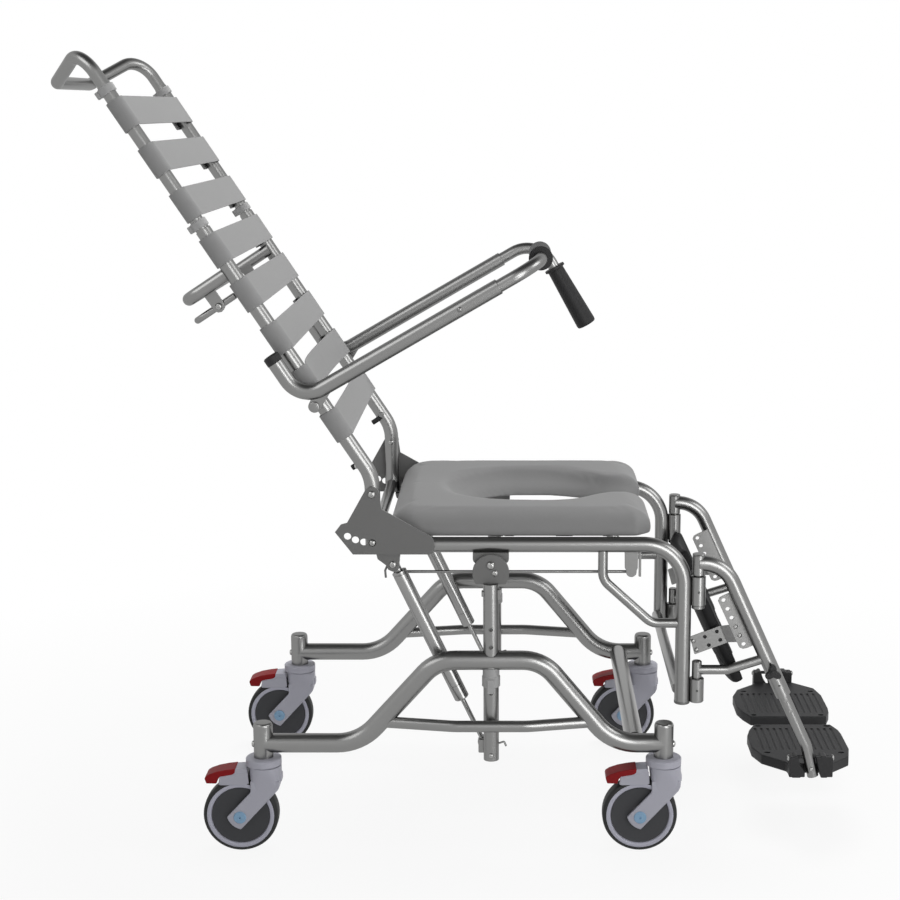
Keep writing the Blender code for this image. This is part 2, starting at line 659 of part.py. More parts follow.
def build_seat_frame():
    """Rails with legs and legrest sockets, braces, cross tube, gusset plates and pan rods."""
    pivot = (POST_X, 0, PIVOT_Z)
    for side in (-1, 1):
        y = side * RAIL_HALF
        points, bends = rail_path(side)
        low, high = sorted((side * SADDLE_IN, side * SADDLE_OUT))
        saddle = box((POST_X - SADDLE_HALF_L, low, PIVOT_Z), (POST_X + SADDLE_HALF_L, high, RAIL_Z))
        pin_end = side * (PIVOT_PLATE_OUT + PIN_PROUD)
        pin = rod((POST_X, side * RAIL_HALF, PIVOT_Z), (POST_X, pin_end, PIVOT_Z), PIVOT_PIN_R)
        sockets = [rod((STUB_X, y, z0), (STUB_X, y, z1), STUB_SOCKET_R)
                   for z0, z1 in (UPPER_SOCKET_Z, LOWER_SOCKET_Z)]
        bores = [rod((STUB_X, y, z0 + SOCKET_FLOOR), (STUB_X, y, z1 + OVERRUN), STUB_PIN_R + RUN)
                 for z0, z1 in (UPPER_SOCKET_Z, LOWER_SOCKET_Z)]
        piece(f"seat_rail_{side_name(side)}", tube(points, FRAME_TUBE_R, bends), STEEL,
              add=[saddle, pin, *sockets], cut=bores, origin=pivot)
        run = [(SEAT_BRACE_X, y, RAIL_Z), (SEAT_BRACE_X, y, SEAT_BRACE_HIGH_Z),
               (SEAT_BRACE_LOW_X, y, SEAT_BRACE_LOW_Z), (LEG_X, y, SEAT_BRACE_LOW_Z)]
        brace = tube(run, SMALL_BRACE_R, (SEAT_BRACE_BEND, SEAT_BRACE_BEND))
        piece(f"seat_brace_{side_name(side)}", brace, STEEL, cut=[fat_rail(side)], origin=pivot)
        wall = side * (RAIL_HALF - FRAME_TUBE_R - GAP)
        inset = side * PAN_ROD_HALF
        wire = [(PAN_ROD_REAR_X, wall, RAIL_Z), (PAN_ROD_REAR_X, inset, RAIL_Z),
                (PAN_ROD_REAR_X, inset, PAN_ROD_Z), (PAN_ROD_FRONT_X, inset, PAN_ROD_Z),
                (PAN_ROD_FRONT_X, inset, RAIL_Z), (PAN_ROD_FRONT_X, wall, RAIL_Z)]
        hook = tube(wire, PAN_ROD_R, (PAN_ROD_BEND,) * 4, 6)
        piece(f"pan_rod_{side_name(side)}", hook, STEEL, origin=pivot)
        build_gusset(side, pivot)
    half = RAIL_HALF - FRAME_TUBE_R * 0.5
    x = LEG_X - LEG_CROSS_BACKSET
    piece("leg_cross", rod((x, -half, LEG_CROSS_Z), (x, half, LEG_CROSS_Z), BRACE_R), STEEL,
          cut=[fat_rail(-1), fat_rail(1)], origin=pivot)


def build_gusset(side, pivot):
    """Plate that carries the recline pivot, the index holes and the spring lug."""
    inner = RAIL_HALF + FRAME_TUBE_R + GAP
    outer = inner + GUSSET_T
    lobe = []
    for i in range(7):
        angle = radians(-12 + 164 * i / 6)
        lobe.append((RECLINE_X + LOBE_R * cos(angle), RECLINE_Z + LOBE_R * sin(angle)))
    outline = lobe + [(POST_X + dx, z) for dx, z in GUSSET_EDGE]
    holes = []
    for i in range(INDEX_COUNT):
        angle = -pi / 2 - i * INDEX_STEP
        x = RECLINE_X + INDEX_R * cos(angle)
        z = RECLINE_Z + INDEX_R * sin(angle)
        holes.append(rod((x, side * (inner - OVERRUN), z), (x, side * (outer + OVERRUN), z), INDEX_HOLE_R))
    lug_in = SPRING_HALF + EYE_HALF_W + RUN
    lug_out = (inner + outer) / 2
    low, high = sorted((side * lug_in, side * lug_out))
    lug = box((SPRING_TOP_X - LUG_REAR, low, SPRING_TOP_Z - LUG_DROP),
              (SPRING_TOP_X + LUG_FRONT, high, RAIL_Z - FRAME_TUBE_R - GAP))
    low, high = sorted((side * (inner + GAP), side * (outer - GAP)))
    web = box((SPRING_TOP_X - LUG_REAR, low, SPRING_TOP_Z - LUG_DROP),
              (SPRING_TOP_X + LUG_FRONT, high, RAIL_Z))
    spring_pin = rod((SPRING_TOP_X, side * lug_out, SPRING_TOP_Z),
                     (SPRING_TOP_X, side * (SPRING_HALF - EYE_HALF_W - PIN_PROUD), SPRING_TOP_Z), UPPER_PIN_R)
    back_pin = rod((RECLINE_X, side * lug_out, RECLINE_Z),
                   (RECLINE_X, side * (BACK_HALF - FRAME_TUBE_R - PIN_PROUD), RECLINE_Z), RECLINE_PIN_R)
    piece(f"gusset_{side_name(side)}", side_plate(outline, side, inner, outer), DARK_STEEL,
          add=[lug, web, spring_pin, back_pin], cut=holes, origin=pivot)


def pad_profile(outer, inner, lift):
    """Cross-section of the pad ring from its outer foot over the top to its inner foot."""
    width = [(0.00, 0.00), (-0.02, 0.22), (0.00, 0.45), (0.05, 0.72), (0.12, 0.91), (0.22, 0.99),
             (0.42, 1.00), (0.62, 0.99), (0.73, 0.90), (0.84, 0.66), (0.94, 0.34), (1.00, 0.00)]
    height = PAD_TOP_Z - PAD_BOTTOM_Z
    span = inner - outer
    ring = []
    for across, up in width:
        at = outer + span * across
        ring.append(Vector((at.x, at.y, PAD_BOTTOM_Z + height * up * lift)))
    return ring


def build_seat_pad():
    """Open-front pad with crowned rim, rounded sides and a dished opening."""
    outer, inner = [], []
    corner_x = PAD_REAR_X + PAD_REAR_CORNER
    corner_y = PAD_HALF - PAD_REAR_CORNER
    hole_x = PAD_HOLE_REAR_X + PAD_HOLE_HALF
    neck_x = PAD_HOLE_FRONT_X
    front_x = PAD_FRONT_X - PAD_FRONT_CORNER
    half_out = [(front_x, PAD_HALF), (neck_x + 0.5 * (front_x - neck_x), PAD_HALF), (neck_x, PAD_HALF),
                (0.5 * (neck_x + hole_x), PAD_HALF), (hole_x, PAD_HALF),
                (0.5 * (hole_x + corner_x), PAD_HALF)]
    half_out += [(corner_x - PAD_REAR_CORNER * sin(radians(a)), corner_y + PAD_REAR_CORNER * cos(radians(a)))
                 for a in (0, 30, 60, 90)]
    half_out += [(PAD_REAR_X, corner_y * 0.5), (PAD_REAR_X, 0.0)]
    half_in = [(front_x, PAD_SLOT_HALF), (neck_x + 0.5 * (front_x - neck_x), PAD_SLOT_HALF),
               (neck_x + 0.010, PAD_SLOT_HALF + 0.010), (0.5 * (neck_x + hole_x), PAD_HOLE_HALF - 0.006),
               (hole_x + 0.020, PAD_HOLE_HALF)]
    half_in += [(hole_x - PAD_HOLE_HALF * sin(radians(a)), PAD_HOLE_HALF * cos(radians(a)))
                for a in (4, 20, 36, 52, 68, 79, 90)]
    for (ox, oy), (ix, iy) in zip(half_out, half_in):
        outer.append(Vector((ox, -oy, 0)))
        inner.append(Vector((ix, -iy, 0)))
    for (ox, oy), (ix, iy) in list(zip(half_out, half_in))[-2::-1]:
        outer.append(Vector((ox, oy, 0)))
        inner.append(Vector((ix, iy, 0)))

    def nose(outside, inside, share):
        """Section of a front end, drawn in and lowered as share goes from 0 to 1."""
        middle = (outside + inside) / 2
        pull = 1 - 0.16 * share ** 3
        ahead = Vector((PAD_FRONT_CORNER * share, 0, 0))
        lift = sqrt(max(0.0, 1 - 0.72 * share ** 2.5))
        drawn = [middle + (edge - middle) * pull + ahead for edge in (outside, inside)]
        return pad_profile(drawn[0], drawn[1], lift)

    shares = (1.0, 0.85, 0.6, 0.3)
    sections = [nose(outer[0], inner[0], share) for share in shares]
    sections += [pad_profile(o, i, 1.0) for o, i in zip(outer, inner)]
    sections += [nose(outer[-1], inner[-1], share) for share in reversed(shares)]
    bm = bmesh.new()
    rings = [[bm.verts.new(point) for point in section] for section in sections]
    count = len(rings[0])
    for low, high in zip(rings, rings[1:]):
        for k in range(count):
            n = (k + 1) % count
            bm.faces.new((low[k], low[n], high[n], high[k]))
    bm.faces.new(list(reversed(rings[0])))
    bm.faces.new(rings[-1])
    feet = []
    rail_top = RAIL_Z + FRAME_TUBE_R * cos(pi / TUBE_SIDES)
    for x in PAD_FOOT_X:
        for side in (-1, 1):
            low, high = sorted((side * (RAIL_HALF - PAD_FOOT_W), side * RAIL_HALF))
            feet.append(box((x - PAD_FOOT_HALF_L, low, rail_top + GAP),
                            (x + PAD_FOOT_HALF_L, high, PAD_BOTTOM_Z + 2 * PAD_FOOT_H)))
    piece("seat_pad", bm, GREY_PAD, add=feet, origin=(POST_X, 0, PIVOT_Z))


# Gas springs.
def build_springs():
    """Cylinder that turns on the gusset lug, and the rod that slides in it."""
    for side in (-1, 1):
        y = side * SPRING_HALF
        top = Vector((SPRING_TOP_X, y, SPRING_TOP_Z))
        foot = Vector((SPRING_FOOT_X, y, SPRING_FOOT_Z))
        along = (foot - top).normalized()
        body_end = top + along * (SPRING_START + SPRING_LENGTH)
        stations = (0.0, SPRING_START, SPRING_START, SPRING_START + SPRING_LENGTH)
        body = tube_mesh([top + along * d for d in stations],
                         [SPRING_NECK_R, SPRING_NECK_R, SPRING_R, SPRING_R])
        eye = rod(top - Vector((0, EYE_HALF_W, 0)), top + Vector((0, EYE_HALF_W, 0)), UPPER_EYE_R)
        cuts = [rod(body_end + along * 0.01, body_end - along * SPRING_BORE, ROD_R + RUN),
                rod(top - Vector((0, 0.02, 0)), top + Vector((0, 0.02, 0)), UPPER_PIN_R + RUN)]
        piece(f"spring_cylinder_{side_name(side)}", body, SPRING_GREY, add=[eye], cut=cuts, origin=top)
        shaft = rod(body_end - along * ROD_INSIDE, foot - along * (LOWER_EYE_HOLE + LOWER_EYE_R) / 2, ROD_R)
        half = Vector((0, LOWER_EYE_HALF_W, 0))
        ring = rod(foot - half, foot + half, LOWER_EYE_R)
        hole = rod(foot - Vector((0, 0.02, 0)), foot + Vector((0, 0.02, 0)), LOWER_EYE_HOLE)
        piece(f"spring_rod_{side_name(side)}", shaft, STEEL, add=[ring], cut=[hole], origin=top)


# Backrest.
BACK_UP = Vector((-sin(BACK_LEAN), 0, cos(BACK_LEAN)))
BACK_FRONT = Vector((cos(BACK_LEAN), 0, sin(BACK_LEAN)))


def back_point(along, front=0.0, y=0.0):
    """A point at a distance up the back tube, forward of it, at a given Y."""
    return Vector((RECLINE_X, y, BACK_BEND_Z)) + BACK_UP * along + BACK_FRONT * front


def back_path(side):
    """Centre line of one back tube."""
    y = side * BACK_HALF
    return [(RECLINE_X, y, BACK_FOOT_Z), (RECLINE_X, y, BACK_BEND_Z), tuple(back_point(BACK_LENGTH, 0, y))]


def build_back_frame():
    """Back tubes, lower cross tube, push handle, mid push bar and tilt lever."""
    axis = (RECLINE_X, 0, RECLINE_Z)
    for side in (-1, 1):
        y = side * BACK_HALF
        cuts = [rod((RECLINE_X, y - 0.02, RECLINE_Z), (RECLINE_X, y + 0.02, RECLINE_Z), RECLINE_PIN_R + RUN),
                rod(back_point(BACK_LENGTH + OVERRUN, 0, y),
                    back_point(BACK_LENGTH - HANDLE_INSIDE - BORE_END_GAP, 0, y), HANDLE_TUBE_R + RUN)]
        piece(f"back_tube_{side_name(side)}", tube(back_path(side), FRAME_TUBE_R, (BACK_BEND,)), STEEL,
              cut=cuts, origin=axis)
    fat = [tube(back_path(side), FRAME_TUBE_R + GAP, (BACK_BEND,)) for side in (-1, 1)]
    half = BACK_HALF - FRAME_TUBE_R * 0.5
    cross_z = RECLINE_Z - INDEX_R
    piece("back_cross", rod((RECLINE_X, -half, cross_z), (RECLINE_X, half, cross_z), BACK_CROSS_R), STEEL,
          cut=fat, origin=axis)

    top = back_point(BACK_LENGTH + HANDLE_RISE - 0.01)
    corner = top + Vector((HANDLE_CORNER_DX, 0, HANDLE_CORNER_DZ))
    loop = []
    for side in (-1, 1):
        leg = [back_point(BACK_LENGTH - HANDLE_INSIDE, 0, side * BACK_HALF),
               Vector((top.x, side * BACK_HALF, top.z)),
               Vector((corner.x, side * HANDLE_CORNER_HALF, corner.z))]
        loop += leg if side < 0 else leg[::-1]
    bends = (HANDLE_TOP_BEND, HANDLE_CORNER_BEND, HANDLE_CORNER_BEND, HANDLE_TOP_BEND)
    piece("push_handle", tube(loop, HANDLE_TUBE_R, bends), STEEL, origin=back_point(BACK_LENGTH))
    build_mid_bar(axis)


def build_mid_bar(axis):
    """U-shaped bar behind the back with two lever plates, and the lever under it."""
    fat = [tube(back_path(side), FRAME_TUBE_R + GAP, (BACK_BEND,)) for side in (-1, 1)]
    bar = [back_point(MID_BAR_ALONG, 0, -MID_BAR_HALF),
           back_point(MID_BAR_ALONG, -MID_BAR_REACH, -MID_BAR_HALF),
           back_point(MID_BAR_ALONG, -MID_BAR_REACH, MID_BAR_HALF),
           back_point(MID_BAR_ALONG, 0, MID_BAR_HALF)]
    pivot = back_point(LEVER_ALONG, -LEVER_BEHIND)
    plates = []
    plate_in = LEVER_HALF + LEVER_R + 2 * RUN
    for side in (-1, 1):
        outline = []
        for up, ahead in LEVER_PLATE_EDGE:
            at = back_point(LEVER_ALONG + up, ahead - LEVER_BEHIND)
            outline.append((at.x, at.z))
        plates.append(side_plate(outline, side, plate_in, plate_in + LEVER_PLATE_T))
    piece("mid_push_bar", tube(bar, MID_BAR_R, (MID_BAR_BEND, MID_BAR_BEND)), STEEL,
          add=plates, cut=fat, origin=axis)
    tail = pivot - BACK_FRONT * LEVER_TAIL
    nose = pivot + BACK_FRONT * LEVER_NOSE
    run = [Vector((nose.x, -LEVER_HALF, nose.z)), Vector((tail.x, -LEVER_HALF, tail.z)),
           Vector((tail.x, LEVER_HALF, tail.z)), Vector((nose.x, LEVER_HALF, nose.z))]
    bosses = []
    for side in (-1, 1):
        ends = [side * (LEVER_HALF - LEVER_R), side * (LEVER_HALF + LEVER_R + RUN)]
        bosses.append(rod((pivot.x, ends[0], pivot.z), (pivot.x, ends[1], pivot.z), LEVER_BOSS_R))
    piece("tilt_lever", tube(run, LEVER_R, (LEVER_BEND, LEVER_BEND), 8), STEEL, add=bosses, origin=pivot)


def band_outline(slack):
    """Cross-section of one band: front panel, wraps round both tubes and short rear returns."""
    inner_r = FRAME_TUBE_R + 2 * RUN
    outer_r = inner_r + BAND_T
    arc = [radians(90 + 180 * i / 6) for i in range(7)]
    loops = []
    for radius in (inner_r, outer_r):
        left = [(-BACK_HALF + BAND_RETURN, -radius)]
        left += [(-BACK_HALF + radius * cos(a), radius * sin(a)) for a in reversed(arc)]
        sag = [(BACK_HALF * 2 * (i / 8 - 0.5), radius - slack * (1 - (i / 4 - 1) ** 2)) for i in range(1, 8)]
        loops.append(left + sag + [(-y, n) for y, n in reversed(left)])
    return loops[0] + loops[1][::-1]


def build_bands():
    """Eight sling bands, numbered from the seat up."""
    for i in range(BAND_COUNT):
        low = BAND_FIRST + i * BAND_PITCH
        slack = BAND_SLACK if i == BAND_SLACK_INDEX else 0.0
        bm = slab(band_outline(slack), lambda y, n, d: back_point(d, n, y), low, low + BAND_WIDTH)
        piece(f"back_band_{i + 1}", bm, GREY_BAND, origin=(RECLINE_X, 0, RECLINE_Z))


# Arms.
ARM_AHEAD = Vector((cos(ARM_RISE), 0, sin(ARM_RISE)))
ARM_DOWN = Vector((sin(ARM_RISE), 0, -cos(ARM_RISE)))


def build_arms():
    """Outer arm tubes that lift on the back tubes, and turning hand grips in them."""
    for side in (-1, 1):
        y = side * ARM_HALF
        corner = Vector((ARM_CORNER_X, y, ARM_CORNER_Z))
        pivot = Vector((ARM_PIVOT_X, y, ARM_PIVOT_Z))
        end = corner + ARM_AHEAD * ARM_REACH
        points = [corner + BACK_UP * ARM_TAIL, corner, end]
        lug = []
        for ahead, down in ARM_LUG_EDGE:
            at = corner + ARM_AHEAD * ahead + ARM_DOWN * down
            lug.append((at.x, at.z))
        for i in range(5):
            angle = radians(-40 - 45 * i)
            lug.append((pivot.x + ARM_LUG_R * cos(angle), pivot.z + ARM_LUG_R * sin(angle)))
        boss = rod((pivot.x, side * (BACK_HALF + FRAME_TUBE_R + GAP), pivot.z),
                   (pivot.x, side * (ARM_HALF + ARM_BOSS_PROUD), pivot.z), ARM_BOSS_R)
        bore = rod(end + ARM_AHEAD * OVERRUN, end - ARM_AHEAD * (GRIP_INSIDE + BORE_END_GAP),
                   INNER_TUBE_R + RUN)
        plate = side_plate(lug, side, ARM_HALF - ARM_LUG_T / 2, ARM_HALF + ARM_LUG_T / 2)
        piece(f"arm_{side_name(side)}", tube(points, FRAME_TUBE_R, (ARM_BEND,)), STEEL,
              add=[plate, boss], cut=[bore], origin=pivot)

        turn = Vector((0, 1, 0)) if side < 0 else ARM_DOWN
        bend = corner + ARM_AHEAD * GRIP_CORNER
        start = end - ARM_AHEAD * GRIP_INSIDE
        path = fillet([start, bend, bend + turn * GRIP_START], (GRIP_BEND,))
        sizes = [INNER_TUBE_R] * len(path)
        for ahead, radius in ((0.0, GRIP_FLANGE_R), (GRIP_FLANGE_T, GRIP_FLANGE_R), (GRIP_FLANGE_T, GRIP_R),
                              (GRIP_LENGTH - 0.004, GRIP_END_R), (GRIP_LENGTH, GRIP_END_R - 0.004)):
            path.append(bend + turn * (GRIP_START + ahead))
            sizes.append(radius)
        piece(f"hand_grip_{side_name(side)}", tube_mesh(path, sizes), BLACK, origin=end)


# Legrests.
SLOPE = Vector((HANGER_SLOPE, 0, -1)).normalized()


def hanger_x(z):
    """Where the sloping part of the hanger is at a given height."""
    return HANGER_CORNER_X + (HANGER_Z - z) * HANGER_SLOPE


def build_legrests():
    """Swing-away hangers, sliding leg tubes, calf pads and footplates."""
    for side in (-1, 1):
        y = side * RAIL_HALF
        name = side_name(side)
        axis = (STUB_X, y, UPPER_SOCKET_Z[1])
        end = Vector((hanger_x(HANGER_END_Z), y, HANGER_END_Z))
        upper_foot, lower_foot = (socket[0] + SOCKET_FLOOR + STUB_PIN_LIFT
                                  for socket in (UPPER_SOCKET_Z, LOWER_SOCKET_Z))
        shoulder = UPPER_SOCKET_Z[1] + RUN
        stub = tube_mesh([Vector((STUB_X, y, z)) for z in (upper_foot, shoulder, shoulder, STUB_TOP_Z)],
                         [STUB_PIN_R, STUB_PIN_R, STUB_R, STUB_R])
        lower = rod((STUB_X, y, lower_foot), (STUB_X, y, LOWER_STUB_TOP_Z), STUB_PIN_R)
        stay = tube([(STUB_X, y, STAY_Z), (STAY_KNEE_X, y, STAY_Z), (hanger_x(STAY_END_Z), y, STAY_END_Z)],
                    SMALL_BRACE_R, (STAY_BEND,))
        bore = rod(end + SLOPE * OVERRUN, end - SLOPE * HANGER_BORE, LEG_TUBE_R + RUN)
        strip, holes = calf_strip(side)
        hanger = tube([(STUB_X, y, HANGER_Z), (HANGER_CORNER_X, y, HANGER_Z), tuple(end)],
                      FRAME_TUBE_R, (HANGER_BEND,))
        piece(f"legrest_hanger_{name}", hanger, STEEL,
              add=[stub, lower, stay, strip], cut=[bore, *holes], origin=axis)
        knee = Vector((hanger_x(LEG_TUBE_KNEE_Z), y, LEG_TUBE_KNEE_Z))
        eye = rod((PLATE_NOTCH[0], y, PLATE_HINGE_Z), (PLATE_NOTCH[1], y, PLATE_HINGE_Z), PLATE_PIN_R + RUN)
        leg = tube([end - SLOPE * LEG_TUBE_INSIDE, knee, (LEG_TUBE_END_X, y, LEG_TUBE_END_Z)],
                   LEG_TUBE_R, (LEG_TUBE_BEND,))
        piece(f"leg_tube_{name}", leg, STEEL, cut=[eye], origin=end)
        build_calf_pad(side, name, axis)
        build_footplate(side, name)


def calf_strip(side):
    """Perforated strip on the hanger that reaches back to the calf pad."""
    top = Vector((POST_X + STRIP_TOP_DX, 0, STRIP_TOP_Z))
    low = Vector((POST_X + STRIP_LOW_DX, 0, STRIP_LOW_Z))
    run = (low - top).normalized()
    ahead = Vector((-run.z, 0, run.x))
    rear = -ahead * STRIP_REAR
    front = ahead * STRIP_FRONT
    corners = [top - run * STRIP_END + rear, top - run * STRIP_END + front, low + run * STRIP_END + front,
               low + run * STRIP_END + rear, low - run * STRIP_ARM_LOW + rear]
    corners += [Vector((CALF_X + dx, 0, CALF_Z + dz)) for dx, dz in STRIP_ARM_END]
    corners.append(low - run * STRIP_ARM_HIGH + rear)
    plate = side_plate([(p.x, p.z) for p in corners], side, STRIP_IN, STRIP_IN + STRIP_T)
    holes = []
    for i in range(STRIP_HOLES):
        at = top + (low - top) * i / (STRIP_HOLES - 1)
        holes.append(rod((at.x, side * (STRIP_IN - OVERRUN), at.z),
                         (at.x, side * (STRIP_IN + STRIP_T + STRIP_HOLE_R), at.z), STRIP_HOLE_R, 6))
    return plate, holes


def build_calf_pad(side, name, axis):
    """Dished pad whose outer edge is fixed to the strip."""
    ahead = Vector((-SLOPE.z, 0, SLOPE.x))
    centre = Vector((CALF_X, 0, CALF_Z))
    bm = bmesh.new()
    rings = []
    for i in range(9):
        share = i / 8
        y = side * (STRIP_IN - GAP - CALF_WIDTH * share)
        dish = CALF_DISH * (2 * share - 1) ** 2
        ring = []
        for up, front in ((-0.5, -0.3), (-0.42, 0.5), (0.42, 0.5), (0.5, -0.3), (0.42, -0.5), (-0.42, -0.5)):
            at = centre - SLOPE * CALF_HEIGHT * up + ahead * (CALF_T * front + dish)
            ring.append(bm.verts.new((at.x, y, at.z)))
        rings.append(ring)
    for low, high in zip(rings, rings[1:]):
        for k in range(6):
            n = (k + 1) % 6
            bm.faces.new((low[k], low[n], high[n], high[k]))
    bm.faces.new(list(reversed(rings[0])))
    bm.faces.new(rings[-1])
    piece(f"calf_pad_{name}", bm, BLACK, origin=axis)


def build_footplate(side, name):
    """Footplate with two hinge ears either side of the leg tube."""
    hinge_y = RAIL_HALF
    notch_in = hinge_y - PLATE_NOTCH_DEPTH
    edge = hinge_y + PLATE_OVERHANG
    outline = [(POST_X + dx, PLATE_CENTRE_GAP + inside) for dx, inside in PLATE_INNER_EDGE]
    outline += [(POST_X + dx, hinge_y - inside) for dx, inside in PLATE_FRONT_EDGE]
    outline += [(POST_X + PLATE_FRONT_TOE_DX, edge), (PLATE_NOTCH[1], edge), (PLATE_NOTCH[1], notch_in),
                (PLATE_NOTCH[0], notch_in), (PLATE_NOTCH[0], edge), (POST_X + PLATE_REAR_TOE_DX, edge)]
    outline += [(POST_X + dx, hinge_y - inside) for dx, inside in PLATE_REAR_EDGE]
    plate = slab(outline, lambda x, y, z: (x, side * y, z), PLATE_BOTTOM_Z, PLATE_TOP_Z)
    ears = []
    for x0, x1 in ((PLATE_NOTCH[0] - PLATE_EAR_W, PLATE_NOTCH[0]),
                   (PLATE_NOTCH[1], PLATE_NOTCH[1] + PLATE_EAR_W)):
        low, high = sorted((side * (hinge_y - PLATE_EAR_HALF_D), side * (hinge_y + PLATE_EAR_HALF_D)))
        ears.append(box((x0, low, (PLATE_BOTTOM_Z + PLATE_TOP_Z) / 2), (x1, high, PLATE_EAR_TOP_Z)))
    hinge_x = hanger_x(PLATE_HINGE_Z)
    pin = rod((PLATE_NOTCH[0] - PLATE_EAR_W / 2, side * hinge_y, PLATE_HINGE_Z),
              (PLATE_NOTCH[1] + PLATE_EAR_W / 2, side * hinge_y, PLATE_HINGE_Z), PLATE_PIN_R)
    piece(f"footplate_{name}", plate, BLACK, add=[*ears, pin],
          origin=(hinge_x, side * hinge_y, PLATE_HINGE_Z))


build_base()
for end_name, stem_x in (("rear", REAR_STEM_X), ("front", FRONT_STEM_X)):
    for caster_side in (-1, 1):
        build_caster(f"{end_name}_{side_name(caster_side)}", stem_x, caster_side)
build_posts()
build_seat_frame()
build_seat_pad()
build_springs()
build_back_frame()
build_bands()
build_arms()
build_legrests()
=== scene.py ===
"""Dressed model of a tilting shower commode chair.

Every piece is modelled in metres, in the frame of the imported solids: +X is the
chair's front, +Y its left side, +Z up, and the floor is Z = 0. Side pieces are
modelled on the right, where Y is negative, and copied to the left.
"""
import logging
from dataclasses import dataclass, replace
from enum import Enum
from math import ceil, copysign, cos, pi, radians, sin, tan
from typing import Sequence

import bmesh
import bpy
from mathutils import Matrix, Vector


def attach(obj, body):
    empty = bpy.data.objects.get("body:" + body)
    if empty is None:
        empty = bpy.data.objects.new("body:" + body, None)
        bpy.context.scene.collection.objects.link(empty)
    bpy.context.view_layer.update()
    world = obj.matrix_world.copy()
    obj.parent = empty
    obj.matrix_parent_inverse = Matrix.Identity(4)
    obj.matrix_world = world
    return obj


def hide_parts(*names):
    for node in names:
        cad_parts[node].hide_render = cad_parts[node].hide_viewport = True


Point = Sequence[float]
Pair = tuple[float, float]
Piece = bpy.types.Object

LOG = logging.getLogger("commode_chair")
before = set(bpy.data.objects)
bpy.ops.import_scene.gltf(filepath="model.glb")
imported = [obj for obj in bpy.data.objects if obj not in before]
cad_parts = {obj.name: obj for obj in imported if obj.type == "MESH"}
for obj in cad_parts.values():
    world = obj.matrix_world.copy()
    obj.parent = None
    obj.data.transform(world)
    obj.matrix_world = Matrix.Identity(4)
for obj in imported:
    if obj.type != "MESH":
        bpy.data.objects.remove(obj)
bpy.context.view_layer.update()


class Side(Enum):
    """The chair's two sides, with the sign of their Y."""

    RIGHT = -1
    LEFT = 1

    @property
    def label(self) -> str:
        """The side's word in the names of pieces and bodies."""
        return self.name.lower()


class Grain(Enum):
    """Surface characters that a finish can have."""

    SATIN = "satin metal"
    COATED = "powder coat"
    MOULDED = "moulded plastic"
    SKIN = "foam skin"
    WOVEN = "woven band"


class NodeBoard:
    """A node tree with short calls to add and link its nodes."""

    def __init__(self, tree: bpy.types.NodeTree) -> None:
        """Empty the tree and keep it.

        Args:
            tree: Node tree of a material or world.
        """
        self.tree = tree
        tree.nodes.clear()

    def add(self, kind: str, *links: tuple[str | int, bpy.types.NodeSocket], **values) -> bpy.types.Node:
        """Add one node.

        Args:
            kind: Node type without its ShaderNode prefix.
            links: Pairs of an input's name or number and the socket that feeds it.
            values: Attributes of the node, or default values of its inputs.

        Returns:
            The new node.
        """
        node = self.tree.nodes.new("ShaderNode" + kind)
        for key, value in values.items():
            if hasattr(node, key):
                setattr(node, key, value)
            else:
                node.inputs[key.replace("_", " ")].default_value = value
        for name, socket in links:
            self.tree.links.new(socket, node.inputs[name])
        return node

    def ramp(self, source: bpy.types.NodeSocket, *stops: tuple[float, Point]) -> bpy.types.NodeSocket:
        """Turn a value into a colour.

        Args:
            source: Socket with the value.
            stops: Places from 0 to 1 with their colours.

        Returns:
            The colour socket.
        """
        node = self.add("ValToRGB", ("Fac", source))
        band = node.color_ramp.elements
        while len(band) < len(stops):
            band.new(0.5)
        for element, (place, colour) in zip(band, stops):
            element.position = place
            element.color = (*colour, 1.0)
        return node.outputs["Color"]


